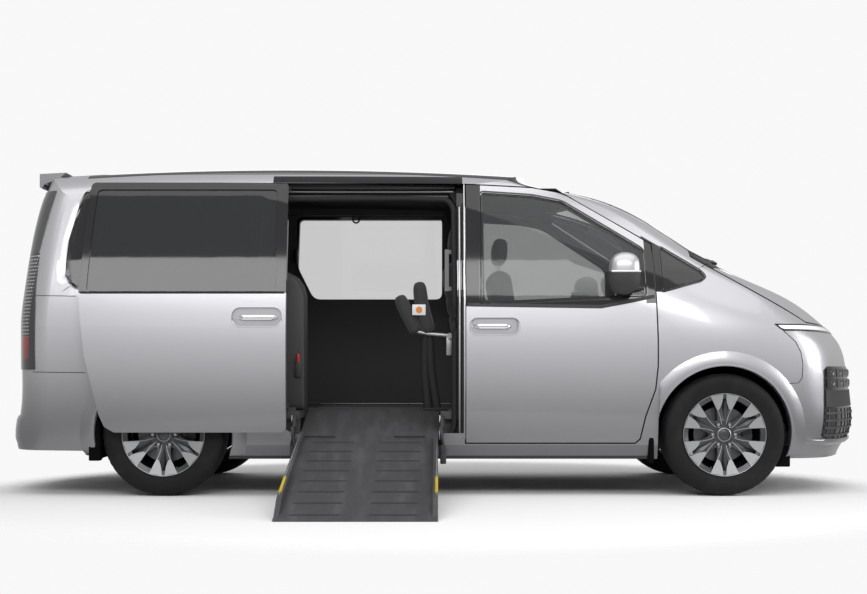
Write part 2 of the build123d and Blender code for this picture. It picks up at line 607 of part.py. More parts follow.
def make_running_gear():
    tyre, rim = make_wheel()
    for end, x in (("front", AXLE_FRONT), ("rear", AXLE_REAR)):
        place = Pos(x, -WHEEL_FACE, TYRE_R)
        for kind, shape in (("tyre_", tyre), ("rim_", rim)):
            save(kind + end + "_right", shape.moved(place))
            save(kind + end + "_left", mirrored(shape.moved(place)))
    hub_y = WHEEL_FACE - DISC_INSET - DISC_THICK - RUN_GAP
    x, z = AXLE_FRONT, TYRE_R
    knuckle = cylinder_y(x, z, 58, -hub_y, -STEER_Y + 30)
    knuckle = knuckle.fuse(block(x - 35, x + 35, -STEER_Y - 10, -STEER_Y + 50, z - 100, z + 130),
                           block(x - 170, x, -STEER_Y, -STEER_Y + 30, z - 20, z + 15))
    save("steering_knuckle_right", largest(knuckle))
    save("steering_knuckle_left", mirrored(largest(knuckle)))
    joint_z = z - 100 - RUN_GAP
    cross = block(x - 140, x + 140, -430, 430, 235, 290)
    pieces = []
    for side in (-1, 1):
        y0, y1 = sorted((side * 420, side * (STEER_Y - 30)))
        pieces.append(block(x - 60, x + 40, y0, y1, z - 135, z - 105))
        y0, y1 = sorted((side * 420, side * (STEER_Y + 15)))
        pieces.append(block(x - 20, x + 20, y0, y1, z - 135, z - 105))
        pieces.append(Pos(x, side * STEER_Y, joint_z - 10) * Cylinder(12, 20))
        y0, y1 = sorted((side * 330, side * 400))
        pieces.append(block(x - 60, x + 60, y0, y1, 290, 300))
        y0, y1 = sorted((side * 390, side * 440))
        pieces.append(block(1290, x - 130, y0, y1, 245, 285))
        pieces.append(block(1290, 1350, y0, y1, 245, FLOOR_Z - FLOOR_THICK))
    save("front_subframe", largest(cross.fuse(*pieces)))
    beam = cylinder_y(AXLE_REAR, z, 40, -hub_y, hub_y)
    hangers = []
    for side in (-1, 1):
        y0, y1 = sorted((side * 560, side * 620))
        hangers.append(block(AXLE_REAR - 50, AXLE_REAR + 50, y0, y1, z, REAR_FLOOR_Z - FLOOR_THICK))
    save("rear_axle", largest(beam.fuse(*hangers)))
    save("engine_block", block(x - 60, x + 480, -360, 360, 300, 860))


# Ramp

def make_ramp():
    half = RAMP_WIDTH / 2
    length = RAMP_LENGTH
    x = RAMP_X
    deck = end_prism([(0, 0), (0, -RAMP_THICK), (-length + RAMP_TAPER, -RAMP_THICK), (-length, -RAMP_TIP),
                      (-length, 0)], x - half, x + half)
    curbs = []
    for side in (-1, 1):
        x0, x1 = sorted((x + side * half, x + side * (half - CURB_WIDTH)))
        outline = [(-40, 0), (-70, CURB_HEIGHT), (-length + 200, CURB_HEIGHT), (-length + 60, 0)]
        curbs.append(end_prism(outline, x0, x1))
    pin = PIN_REACH - RUN_GAP
    pins = []
    for side in (-1, 1):
        x0, x1 = sorted((x + side * (half - CURB_WIDTH), x + side * (half + pin)))
        pins.append(Pos((x0 + x1) / 2, 0, 0) * Rot(0, 90, 0) * Cylinder(PIN_R, x1 - x0))
    ramp = largest(deck.fuse(*curbs, *pins)).rotate(Axis.X, RAMP_SLOPE).moved(Location((0, RAMP_HINGE_Y, SILL_Z)))
    save("ramp", ramp)


# Cabin

def seat_profile(x, z):
    """side outline of a chair: pedestal, cushion, back and head rest in one closed line"""
    return [(x - 190, z), (x + 200, z), (x + 180, z + 210), (x + 270, z + 230), (x + 280, z + 350),
            (x - 130, z + 370), (x - 250, z + 900), (x - 235, z + 1120), (x - 330, z + 1130), (x - 370, z + 900),
            (x - 300, z + 230), (x - 190, z + 210)]


def make_cabin():
    save("driver_seat", side_prism(seat_profile(700, FLOOR_Z), SEAT_Y - 250, SEAT_Y + 250, 20))
    save("passenger_seat", side_prism(seat_profile(400, FLOOR_Z), -SEAT_Y - 250, -SEAT_Y + 250, 20))
    save("rear_bench", side_prism(seat_profile(-1450, REAR_FLOOR_Z), -600, 600, 20))
    dash = side_prism([(1250, 1040), (1330, 1130), (1420, 1150), (1520, 1100), (1520, 800), (1300, 760), (1200, 850)],
                      -860, 860)
    wheel_at = Pos(WHEEL_CENTRE[0], SEAT_Y, WHEEL_CENTRE[1]) * Rot(0, COLUMN_LEAN, 0)
    column = wheel_at * Pos(0, 0, WHEEL_HUB_TOP + RUN_GAP + COLUMN_LENGTH / 2) * Cylinder(34, COLUMN_LENGTH)
    save("dashboard", largest(dash.fuse(column)))
    ring = Torus(175, 15)
    spokes = Box(30, 340, 14).fuse(Pos(83, 0, 0) * Box(170, 34, 14), Pos(0, 0, WHEEL_HUB_TOP - 30) * Cylinder(60, 60))
    save("steering_wheel", largest(wheel_at * ring.fuse(spokes)))
    rails = []
    for y in (-250, 230):
        rail = block(-760, 160, y - 30, y + 30, FLOOR_Z, FLOOR_Z + 8)
        rails.append(cut(rail, *[Pos(x, y, FLOOR_Z) * Cylinder(10, 40) for x in (-700, 100)]))
    save("floor_anchors", Compound(children=[largest(r) for r in rails]))


def make_mirrors(outer):
    shell = side_prism(MIRROR_OUTLINE, -MIRROR_REACH, -MIRROR_REACH + MIRROR_WIDTH, 25)
    arm = side_prism(MIRROR_ARM, -MIRROR_REACH + MIRROR_WIDTH - 20, -900, 10)
    mirror_right = largest(cut(shell.fuse(arm), outer))
    save("mirror_right", mirror_right)
    save("mirror_left", mirrored(mirror_right))


def make_slide_gear(inner):
    """tracks on the body and the arms that carry the sliding doors"""
    upper = largest(common(block(-1050, PILLAR_X[0] - 10, -1000, -700, TRACK_Z, TRACK_Z + 50), inner))
    lower = block(-955, -840, -870, -840, FLOOR_Z, FLOOR_Z + 20)
    rail = block(RAIL_END, RAIL_START, -RAIL_FACE_Y, -RAIL_BACK_Y, *RAIL_Z)
    save("door_tracks", Compound(children=[upper, mirrored(upper), lower, mirrored(lower), rail, mirrored(rail)]))
    moved = Location((-SLIDE_TRAVEL, -SLIDE_STAND_OFF, 0))
    inside = inner.moved(moved)
    top = largest(common(block(-930, -880, -1000, -722, TRACK_Z - 26, TRACK_Z), inside))
    foot = largest(common(block(-925, -880, -1100, -845, FLOOR_Z + 20, FLOOR_Z + 46), inside))
    middle = largest(common(block(-2050, -1990, -1100, -RAIL_FACE_Y, 1140, 1160), inside))
    left_top = mirrored(largest(common(block(40, 90, -1000, -722, TRACK_Z - 26, TRACK_Z), inner)))
    save("sliding_door_arms", Compound(children=[top, foot, middle, left_top]))


def make_pillars(inner, clear):
    """the pillar behind each front door, standing on the floor and joined to the roof rail"""
    x0, x1 = PILLAR_X
    column = cut(common(block(x0, x1, -1300, -300, FLOOR_Z, 1895), inner), body_form(WALL + SHUT + 45, ROOF_WALL + 40))
    slot = cut(block(x0 - 1, x1 + 1, -1300, -300, FLOOR_Z - 1, CANT_Z + SHUT), clear)
    striker = block(STRIKER_X - 15, STRIKER_X + 15, -STRIKER_FACE_Y, -STRIKER_FACE_Y + 20,
                    STRIKER_Z - 8, STRIKER_Z + 8)
    return largest(cut(column, slot).fuse(striker))


def make_grab_handle():
    x0, x1 = PILLAR_X[0] - 70, PILLAR_X[0] - 46
    bar = end_prism([(-884, 1200), (-860, 1200), (-812, 1450), (-836, 1450)], x0, x1)
    stubs = [end_prism([(-884 + (z - 1200) * 0.192, z), (-860 + (z - 1200) * 0.192, z),
                        (-860 + (z - 1176) * 0.192, z + 24), (-884 + (z - 1176) * 0.192, z + 24)], x1, PILLAR_X[0])
             for z in (1203, 1423)]
    save("grab_handle", largest(bar.fuse(*stubs)))


def main():
    with SkipClean():
        outer, inner, clear = make_body()
        make_floor(inner, clear)
        make_liners(inner)
        make_running_gear()
        make_ramp()
        make_cabin()
        make_mirrors(outer)
        make_slide_gear(inner)
        make_grab_handle()
    os.makedirs("parts", exist_ok=True)
    for name, shape in ALL.items():
        export_step(shape.moved(Location((0, SHIFT_Y, 0))), "parts/" + name + ".step")
        print(name, len(shape.solids()), round(shape.volume / 1e6, 2))


main()
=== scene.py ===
from math import asin, atan2, cos, degrees, hypot, pi, radians, sin

import bpy
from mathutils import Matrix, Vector
from mathutils.bvhtree import BVHTree


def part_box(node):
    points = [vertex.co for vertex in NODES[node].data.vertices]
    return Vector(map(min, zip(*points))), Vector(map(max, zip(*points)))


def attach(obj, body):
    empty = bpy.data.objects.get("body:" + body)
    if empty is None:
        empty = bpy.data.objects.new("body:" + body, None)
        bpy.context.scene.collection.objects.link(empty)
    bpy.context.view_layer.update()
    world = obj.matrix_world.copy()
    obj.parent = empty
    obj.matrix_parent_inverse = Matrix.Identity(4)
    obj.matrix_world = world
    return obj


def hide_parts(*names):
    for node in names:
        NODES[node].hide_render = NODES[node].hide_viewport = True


# Wheelchair accessible van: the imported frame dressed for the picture, in metres.
# X points to the front, the open side faces -Y. MID is the van's own centre plane.

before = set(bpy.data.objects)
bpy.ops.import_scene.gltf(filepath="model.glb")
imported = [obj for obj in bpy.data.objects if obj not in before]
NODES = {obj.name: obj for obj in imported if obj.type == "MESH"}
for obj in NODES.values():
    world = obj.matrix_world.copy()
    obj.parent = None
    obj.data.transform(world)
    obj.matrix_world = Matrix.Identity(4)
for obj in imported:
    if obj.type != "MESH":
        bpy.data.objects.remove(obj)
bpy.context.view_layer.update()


# Sizes taken from the frame

def span(node):
    lo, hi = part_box(node)
    return Vector(lo), Vector(hi)


def middle(node):
    lo, hi = span(node)
    return (lo + hi) / 2


MID = middle("windscreen").y
WHEELS = {}
for end in ("front", "rear"):
    for side in ("right", "left"):
        lo, hi = span("tyre_" + end + "_" + side)
        face = lo.y if side == "right" else hi.y
        WHEELS[end + "_" + side] = ((lo.x + hi.x) / 2, face, (lo.z + hi.z) / 2)
TYRE_R = (hi.z - lo.z) / 2
TYRE_WIDTH = hi.y - lo.y
DOOR_TRAVEL = span("sliding_door_left")[0].x - span("sliding_door_right")[0].x
DOOR_OUT = (span("sliding_door_left")[1].y - MID) - (MID - span("sliding_door_right")[0].y)


# Shader helpers

class Sock:
    """a node socket that takes part in sums"""

    def __init__(self, mat, socket):
        self.mat, self.socket = mat, socket

    def math(self, operation, *others, flip=False):
        values = [self, *others]
        if flip:
            values = values[::-1]
        return self.mat.add("ShaderNodeMath", {"operation": operation}, dict(enumerate(values)), "Value")

    def __add__(self, o):
        return self.math("ADD", o)

    def __radd__(self, o):
        return self.math("ADD", o)

    def __sub__(self, o):
        return self.math("SUBTRACT", o)

    def __rsub__(self, o):
        return self.math("SUBTRACT", o, flip=True)

    def __mul__(self, o):
        return self.math("MULTIPLY", o)

    def __rmul__(self, o):
        return self.math("MULTIPLY", o)

    def __truediv__(self, o):
        return self.math("DIVIDE", o)

    def __gt__(self, o):
        return self.math("GREATER_THAN", o)

    def __lt__(self, o):
        return self.math("LESS_THAN", o)

    def __abs__(self):
        return self.math("ABSOLUTE")

    def step(self, low, high):
        """0 below low, 1 above high, smooth between"""
        settings = {"interpolation_type": "SMOOTHSTEP"}
        return self.mat.add("ShaderNodeMapRange", settings, {0: self, 1: low, 2: high}, "Result")

    def within(self, low, high):
        return (self > low) * (self < high)


class Finish:
    """a material built from a Principled shader"""

    def __init__(self, name, color, roughness, metallic=0.0, **fixed):
        self.material = bpy.data.materials.new(name)
        self.material.use_nodes = True
        self.tree = self.material.node_tree
        self.shader = self.tree.nodes["Principled BSDF"]
        self.shader.inputs["Base Color"].default_value = (*color, 1)
        self.shader.inputs["Roughness"].default_value = roughness
        self.shader.inputs["Metallic"].default_value = metallic
        for key, value in fixed.items():
            self.shader.inputs[key.replace("_", " ")].default_value = value
        self._point = None

    def add(self, kind, settings, values, out):
        node = self.tree.nodes.new(kind)
        for key, value in settings.items():
            setattr(node, key, value)
        for key, value in values.items():
            if isinstance(value, Sock):
                self.tree.links.new(value.socket, node.inputs[key])
            else:
                node.inputs[key].default_value = value
        return Sock(self, node.outputs[out])

    def point(self):
        if self._point is None:
            self._point = self.add("ShaderNodeTexCoord", {}, {}, "Object")
        return self._point

    def axis(self, name):
        return self.add("ShaderNodeSeparateXYZ", {}, {0: self.point()}, name)

    def noise(self, scale, detail=2.0, stretch=None):
        place = self.point()
        if stretch:
            place = self.add("ShaderNodeMapping", {}, {"Vector": place, "Scale": stretch}, "Vector")
        return self.add("ShaderNodeTexNoise", {}, {"Vector": place, "Scale": scale, "Detail": detail}, "Fac")

    def waves(self, along, scale):
        settings = {"bands_direction": along}
        return self.add("ShaderNodeTexWave", settings, {"Vector": self.point(), "Scale": scale}, "Fac")

    def mix(self, factor, a, b):
        settings = {"data_type": "RGBA"}
        return self.add("ShaderNodeMix", settings, {"Factor": factor, 6: a, 7: b}, 2)

    def feed(self, name, value):
        self.tree.links.new(value.socket, self.shader.inputs[name])

    def bump(self, height, strength, distance):
        values = {"Height": height, "Strength": strength, "Distance": distance}
        self.feed("Normal", self.add("ShaderNodeBump", {}, values, "Normal"))


def rgba(r, g=None, b=None):
    return (r, r if g is None else g, r if b is None else b, 1)


# Finishes

def paint_and_gloss(name, where, lined=False, shaded=False):
    """body paint that turns to gloss black where a mask of the part's own place says so

    The inner faces of a lined part are dark trim, and its rocker is dark below the doors. The paint is darker
    towards the bottom as painted shade and lighter above the crease as a painted highlight; a shaded part's top
    and a lined part's roof rail are darkened as painted shade.
    """
    f = Finish(name, (0.56, 0.565, 0.585), 0.34, 0.6, Coat_Roughness=0.04)
    z = f.axis("Z")
    flake = f.noise(1400, 1)
    # painted shade: the paint darkens from z 0.93 down to z 0.33, standing in for the shade on the lower body
    base = f.mix(z.step(0.33, 0.93), rgba(0.165, 0.166, 0.176), rgba(0.52, 0.52, 0.545))
    # painted highlight: a lighter band of paint from the crease upward stands in for the light on the
    # upward-facing shoulder
    base = f.mix(z.step(CREASE_Z - 0.010, CREASE_Z + 0.010) * 0.4, base, rgba(0.56, 0.56, 0.585))
    base = f.mix(flake.step(0.35, 0.75) * 0.2, base, rgba(0.58, 0.58, 0.60))
    # painted shade: a shaded part's paint is darkened above z 1.78, on the tailgate's spoiler
    if shaded:
        base = f.mix(z.step(1.78, 1.85), base, rgba(0.27, 0.273, 0.285))
    x = f.axis("X")
    black = where(x, z)
    dark = rgba(0.016, 0.016, 0.018)
    if lined:
        width = abs(f.axis("Y") - MID)
        half = (0.985 - (z - 1.05).math("MAXIMUM", 0.0) * 0.21 - (z - 1.5).math("MAXIMUM", 0.0) * 0.07)
        inside = (half - 0.050 - width > 0) * x.within(-2.1, 1.25) * (1 - (x > 0.60) * (z > 1.30))
        base = f.mix((z < 0.297) * (x < 1.30), base, rgba(0.13, 0.131, 0.138))
        # painted shade: above z 1.905 the body side's roof rail takes the roof's darker colour
        base = f.mix((z > 1.905) * (1 - inside), base, rgba(0.24, 0.243, 0.255))
        track = z.within(1.83, 1.893) * x.within(-0.98, 0.145) * (f.axis("Y") < MID)
        black = black.math("MAXIMUM", track)
        black = black.math("MAXIMUM", inside)
    f.feed("Base Color", f.mix(black, base, dark))
    f.feed("Metallic", 0.6 - black * 0.6)
    f.feed("Roughness", 0.34 - black * 0.27)
    f.feed("Coat Weight", 0.8 - black * 0.7)
    return f.material


CREASE_Z = 0.985            # painted highlight: the body side's paint is made lighter above this crease
BELT_Z = 1.125              # lower edge of the black window band on a front door
SLIDE_BELT_Z = 1.180
GLASS_TOP_Z = 1.842


def plain_side(x, z):
    return z > 9


def front_door_black(x, z):
    """the pillar strip behind the window, the mirror's corner ahead of it and the foot of the glass"""
    ends = (z > BELT_Z) * ((x < 0.250) + (x > 1.214)).math("MINIMUM", 1.0)
    foot = (z - 0.22 * (x - 1.0).math("MAXIMUM", 0.0)).within(1.106, 1.175)
    return ends.math("MAXIMUM", foot)


def slide_door_black(x, z):
    return z.within(SLIDE_BELT_Z, GLASS_TOP_Z)


def body_side_black(x, z):
    """the strip between the sliding door's window and the quarter window"""
    return (z.within(1.195, 1.80) * x.within(-1.16, -1.0)).math("MAXIMUM", fender_black(x, z))


def fender_black(x, z):
    """the corner window's surround between the front door's edge and the glass"""
    return (z > 1.192) * (z + (x - 1.31) * 0.6 < 1.466) * x.within(1.20, 1.33)


# painted shade: the roof's silver paint is a darker copy, standing in for the roof seen in shade
def shaded_roof_paint():
    f = Finish("shaded_roof_paint", (0.24, 0.243, 0.255), 0.30, 0.6, Coat_Weight=0.9, Coat_Roughness=0.03)
    flake = f.noise(1400, 1)
    f.feed("Base Color", f.mix(flake.step(0.35, 0.75) * 0.4, rgba(0.24, 0.243, 0.255), rgba(0.4, 0.4, 0.42)))
    return f.material


def glass(name, tint, alpha):
    f = Finish(name, tint, 0.03, 0.0, Alpha=alpha, IOR=1.5, Specular_IOR_Level=0.6)
    smear = f.noise(3, 3)
    f.feed("Roughness", 0.02 + smear * 0.03)
    return f.material


def gloss_black():
    f = Finish("gloss_black", (0.012, 0.012, 0.013), 0.07, Coat_Weight=0.5)
    f.feed("Roughness", 0.05 + f.noise(40) * 0.06)
    return f.material


def grained(name, color, roughness, scale=900, depth=0.0006, **fixed):
    f = Finish(name, color, roughness, **fixed)
    grain = f.noise(scale, 2)
    wear = f.noise(6, 3)
    dark = tuple(c * 0.82 for c in color)
    f.feed("Base Color", f.mix(wear, rgba(*dark), rgba(*color)))
    f.feed("Roughness", roughness - 0.08 + wear * 0.16)
    f.bump(grain, 0.35, depth)
    return f.material


def rubber(name="tyre_rubber"):
    f = Finish(name, (0.010, 0.010, 0.010), 0.62, Specular_IOR_Level=0.2)
    dust = f.noise(9, 4)
    f.feed("Base Color", f.mix(dust.step(0.4, 0.8), rgba(0.007), rgba(0.016, 0.016, 0.0155)))
    f.feed("Roughness", 0.5 + dust * 0.25)
    f.bump(f.noise(700), 0.2, 0.0004)
    return f.material


def metal(name, color, roughness, scale=500, turn=None):
    f = Finish(name, color, roughness, 1.0)
    fine = f.noise(scale, 2, turn)
    f.feed("Roughness", roughness - 0.05 + fine * 0.12)
    dark = tuple(c * 0.88 for c in color)
    f.feed("Base Color", f.mix(fine, rgba(*dark), rgba(*color)))
    return f.material


def cloth(name, color, rib=0.006):
    """woven seat cover with fine crossing threads"""
    f = Finish(name, color, 0.85, Sheen_Weight=0.25, Sheen_Roughness=0.4)
    weave = f.waves("Y", 1 / rib) * f.waves("Z", 1 / rib)
    light = tuple(min(1, c * 1.9 + 0.01) for c in color)
    f.feed("Base Color", f.mix(weave * 0.5 + f.noise(60) * 0.3, rgba(*color), rgba(*light)))
    f.bump(weave + f.noise(400) * 0.5, 0.5, 0.0012)
    return f.material


def tail_lens():
    """dark grey top, white dotted middle, red lower part and black foot, by height"""
    f = Finish("tail_lens", (0.02, 0.02, 0.022), 0.08, Coat_Weight=1.0)
    z, y, x = f.axis("Z"), f.axis("Y"), f.axis("X")
    round_corner = abs(y - MID) + x
    dot_u = (z * 48).math("FRACT") - 0.5
    dot_v = (round_corner * 46).math("FRACT") - 0.5
    dots = ((dot_u * dot_u + dot_v * dot_v) < 0.055) * z.within(0.93, 1.42) * (round_corner < -1.425)
    red = z.within(0.80, 0.93) * (round_corner < -1.425)
    base = f.mix(z.step(1.42, 1.43), rgba(0.022, 0.022, 0.024), rgba(0.05, 0.052, 0.055))
    dotted = f.mix(dots, base, rgba(0.62, 0.63, 0.65))
    f.feed("Base Color", f.mix(red * (0.55 + z.step(0.80, 0.92) * 0.45), dotted, rgba(0.30, 0.010, 0.014)))
    f.bump(dots, 0.3, 0.001)
    return f.material


def lamp_lens():
    """a ribbed white lens"""
    f = Finish("lamp_lens", (0.82, 0.83, 0.85), 0.08, 0.0, Coat_Weight=1.0, Emission_Color=(1, 1, 1, 1),
               Emission_Strength=0.30)
    ribs = f.waves("Y", 14.0)
    f.feed("Base Color", f.mix(ribs * 0.25, rgba(0.90, 0.91, 0.93), rgba(0.70, 0.71, 0.74)))
    f.bump(ribs, 0.1, 0.001)
    return f.material


def floor_vinyl():
    f = Finish("floor_vinyl", (0.06, 0.06, 0.062), 0.6)
    speck = f.noise(500, 1)
    f.feed("Base Color", f.mix(speck.step(0.55, 0.7), rgba(0.05, 0.05, 0.052), rgba(0.13, 0.13, 0.135)))
    f.bump(speck, 0.3, 0.0005)
    return f.material


def ramp_coat():
    """dark grey anti-slip coat, rubbed along the way the wheels go"""
    f = Finish("ramp_coat", (0.075, 0.076, 0.08), 0.55, 0.35)
    grit = f.noise(1100, 1)
    rubbed = f.noise(5, 4, (3.0, 0.5, 1.0))
    rubbed = rubbed.step(0.4, 0.75) * 0.6
    f.feed("Base Color", f.mix(rubbed, rgba(0.068, 0.069, 0.073), rgba(0.13, 0.132, 0.138)))
    f.feed("Roughness", 0.42 + grit * 0.25)
    f.bump(grit, 0.45, 0.0006)
    return f.material


PAINT = paint_and_gloss("silver_paint", plain_side)
FRONT_DOOR_PAINT = paint_and_gloss("front_door_paint", front_door_black)
SLIDE_DOOR_PAINT = paint_and_gloss("sliding_door_paint", slide_door_black)
SIDE_PAINT = paint_and_gloss("body_side_paint", body_side_black, True)
FENDER_PAINT = paint_and_gloss("fender_paint", fender_black)
# the tailgate's spoiler top carries painted shade
GATE_PAINT = paint_and_gloss("tailgate_paint", plain_side, False, True)
SHADED_ROOF_PAINT = shaded_roof_paint()
DARK_GLASS = glass("privacy_glass", (0.024, 0.025, 0.027), 0.86)
CLEAR_GLASS = glass("window_glass", (0.07, 0.075, 0.077), 0.36)
SCREEN_GLASS = glass("screen_glass", (0.10, 0.106, 0.108), 0.20)
FAR_GLASS = glass("far_door_glass", (0.10, 0.11, 0.11), 0.22)
GLOSS = gloss_black()
BLACK = grained("black_plastic", (0.028, 0.028, 0.030), 0.55)
TRIM = grained("trim_grey", (0.16, 0.16, 0.165), 0.6)
LINING = grained("headlining", (0.030, 0.030, 0.031), 0.85, 40, 0.0001)
CARD = grained("door_card", (0.052, 0.052, 0.054), 0.7, 40, 0.0001)
# painted shade: near-black, darker than the black plastic, for the wheel liners, dust shields, mud flaps and
# the panel behind the grille mesh
SHADED_BLACK = grained("well_black_painted_shade", (0.004, 0.004, 0.004), 0.9, 200, 0.001, Specular_IOR_Level=0.05)
RUBBER = rubber()
SEAL = grained("door_seal", (0.010, 0.010, 0.010), 0.8, 300)
BRIGHT = metal("machined_alloy", (0.42, 0.425, 0.435), 0.42, 900)
LACQUER = metal("grey_lacquer", (0.095, 0.098, 0.104), 0.34, 600)
CHROME = metal("chrome", (0.88, 0.88, 0.89), 0.08, 200)
STEEL = metal("rail_steel", (0.50, 0.50, 0.51), 0.35, 300, (1.0, 12.0, 12.0))
IRON = grained("dark_steel", (0.05, 0.05, 0.052), 0.55, 250)
DISC = metal("brake_disc", (0.15, 0.15, 0.155), 0.42, 300)
CLOTH = cloth("seat_cloth", (0.022, 0.022, 0.024))
TAIL = tail_lens()
LENS = lamp_lens()
SMOKE = grained("smoked_lens", (0.030, 0.031, 0.034), 0.12, 80, 0.0002)
VINYL = floor_vinyl()
RAMP = ramp_coat()
YELLOW = grained("yellow_strip", (0.62, 0.44, 0.03), 0.5)
RED = grained("red_plastic", (0.55, 0.02, 0.015), 0.4)
WHITE = grained("white_plastic", (0.75, 0.75, 0.75), 0.45)
ORANGE = grained("orange_patch", (0.72, 0.22, 0.03), 0.5)

NODE_FINISH = {
    "windscreen": SCREEN_GLASS, "roof_panel": SHADED_ROOF_PAINT, "cowl_panel": BLACK, "front_grille": GLOSS,
    "front_door_right": FRONT_DOOR_PAINT, "front_door_left": FRONT_DOOR_PAINT,
    "sliding_door_right": SLIDE_DOOR_PAINT, "sliding_door_left": SLIDE_DOOR_PAINT,
    "body_side_right": SIDE_PAINT, "body_side_left": SIDE_PAINT, "tailgate": GATE_PAINT,
    "front_fenders": FENDER_PAINT, "tail_lamps": TAIL, "floor_pan": VINYL, "rear_floor": VINYL,
    # the wheel liners' near-black is painted shade
    "bridging_plate": RAMP, "ramp": RAMP, "front_wheel_liners": SHADED_BLACK, "rear_wheel_liners": SHADED_BLACK,
    "steering_knuckle_right": IRON, "steering_knuckle_left": IRON, "front_subframe": IRON, "rear_axle": IRON,
    "engine_block": IRON, "floor_anchors": IRON, "door_tracks": IRON, "sliding_door_arms": IRON,
    "dashboard": BLACK, "steering_wheel": BLACK, "grab_handle": TRIM, "rear_window": DARK_GLASS,
    "sliding_door_glass_right": DARK_GLASS, "sliding_door_glass_left": FAR_GLASS,
    "fixed_side_glass": DARK_GLASS, "front_door_glass_right": CLEAR_GLASS, "front_door_glass_left": CLEAR_GLASS,
    "driver_seat": CLOTH, "passenger_seat": CLOTH, "rear_bench": CLOTH}


def dress_nodes():
    for name, node in NODES.items():
        finish = NODE_FINISH.get(name, PAINT)
        if name.startswith("tyre"):
            finish = RUBBER
        if name.startswith("rim"):
            finish = BRIGHT
        node.data.materials.clear()
        node.data.materials.append(finish)


# Mesh helpers

def rest_all():
    if bpy.context.object and bpy.context.object.mode != "OBJECT":
        bpy.ops.object.mode_set(mode="OBJECT")
    bpy.ops.object.select_all(action="DESELECT")


def hold(obj):
    """obj alone is selected and active"""
    rest_all()
    obj.select_set(True)
    bpy.context.view_layer.objects.active = obj


def apply(obj, kind, **settings):
    hold(obj)
    bpy.ops.object.modifier_add(type=kind)
    modifier = obj.modifiers[-1]
    for key, value in settings.items():
        setattr(modifier, key, value)
    bpy.ops.object.modifier_apply(modifier=modifier.name)


def tidy_mesh(obj, fill=False):
    hold(obj)
    bpy.ops.object.mode_set(mode="EDIT")
    bpy.ops.mesh.select_all(action="SELECT")
    bpy.ops.mesh.remove_doubles(threshold=0.00002)
    if fill:
        bpy.ops.mesh.fill_holes(sides=0)
        bpy.ops.mesh.select_all(action="SELECT")
    bpy.ops.mesh.normals_make_consistent(inside=False)
    bpy.ops.object.mode_set(mode="OBJECT")


def done(obj, body, finish, smooth=35):
    """finish, smoothing and the body that the piece rides on"""
    hold(obj)
    bpy.ops.object.transform_apply(location=True, rotation=True, scale=True)
    obj.data.materials.clear()
    obj.data.materials.append(finish)
    if smooth:
        bpy.ops.object.shade_smooth_by_angle(angle=radians(smooth))
    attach(obj, body)
    return obj


def skin(name, rows, fill=False, thick=0.0):
    """a sheet through rows of points, one row after the other"""
    rest_all()
    across, along = len(rows[0]) - 1, len(rows) - 1
    bpy.ops.mesh.primitive_grid_add(x_subdivisions=across, y_subdivisions=along)
    obj = bpy.context.object
    obj.name = name
    obj.data.vertices.foreach_set("co", [c for row in rows for p in row for c in p])
    tidy_mesh(obj, fill)
    if thick:
        apply(obj, "SOLIDIFY", thickness=thick, offset=0)
    return obj


def bar(name, lo, hi, bevel=0.0, segments=2):
    """a block between two corners with rounded edges"""
    rest_all()
    lo, hi = Vector(lo), Vector(hi)
    bpy.ops.mesh.primitive_cube_add(size=1, location=(lo + hi) / 2, scale=hi - lo)
    obj = bpy.context.object
    obj.name = name
    bpy.ops.object.transform_apply(location=True, rotation=True, scale=True)
    if bevel:
        apply(obj, "BEVEL", width=bevel, segments=segments)
    return obj


def ring_points(centre, radius, u, v, count, start=0.0):
    turns = [start + 2 * pi * i / count for i in range(count + 1)]
    return [centre + u * (radius * cos(a)) + v * (radius * sin(a)) for a in turns]


def rod(name, path, radius, count=12):
    """a round bar along a path of points"""
    path = [Vector(p) for p in path]
    rows = []
    for i, p in enumerate(path):
        ahead = (path[min(i + 1, len(path) - 1)] - path[max(i - 1, 0)]).normalized()
        u = ahead.cross(Vector((0.13, 0.21, 0.97))).normalized()
        v = ahead.cross(u).normalized()
        rows.append(ring_points(p, radius, u, v, count))
    return skin(name, rows, fill=True)


def turned(name, profile, centre, side, count=96):
    """a profile of (radius, depth) points turned about a wheel's axle; depth runs inwards from the face"""
    inward = 1 if side == "right" else -1
    rows = []
    for i in range(count + 1):
        a = 2 * pi * i / count
        rows.append([(centre[0] + r * sin(a), centre[1] + inward * d, centre[2] + r * cos(a))
                     for r, d in profile])
    return skin(name, rows)


def joined(name, objs):
    rest_all()
    for o in objs:
        o.select_set(True)
    bpy.context.view_layer.objects.active = objs[0]
    bpy.ops.object.join()
    objs[0].name = name
    return objs[0]


# The body's outer skin, read from the whole left side, where all doors are closed

def node_tree(names):
    verts, faces = [], []
    for name in names:
        mesh = NODES[name].data
        start = len(verts)
        verts += [v.co.copy() for v in mesh.vertices]
        mesh.calc_loop_triangles()
        faces += [tuple(start + i for i in t.vertices) for t in mesh.loop_triangles]
    return BVHTree.FromPolygons(verts, faces)


SKIN = node_tree(["body_side_left", "front_door_left", "sliding_door_left", "front_fenders", "front_bumper",
                  "rear_bumper", "tail_lamps", "fixed_side_glass", "front_door_glass_left",
                  "sliding_door_glass_left", "front_lamps", "bonnet", "tailgate", "front_grille"])


def half_width(x, z):
    """how far the body's skin lies from the centre plane at (x, z)"""
    hits = []
    for dx, dz in ((0, 0), (0.012, 0), (-0.012, 0), (0, 0.012), (0, -0.012)):
        at, _, _, _ = SKIN.ray_cast(Vector((x + dx, MID + 2, z + dz)), Vector((0, -1, 0)))
        if at is not None:
            hits.append(at.y - MID)
    if not hits:
        return 0.9
    if max(hits) - hits[0] < 0.02:
        return hits[0]
    return max(hits)


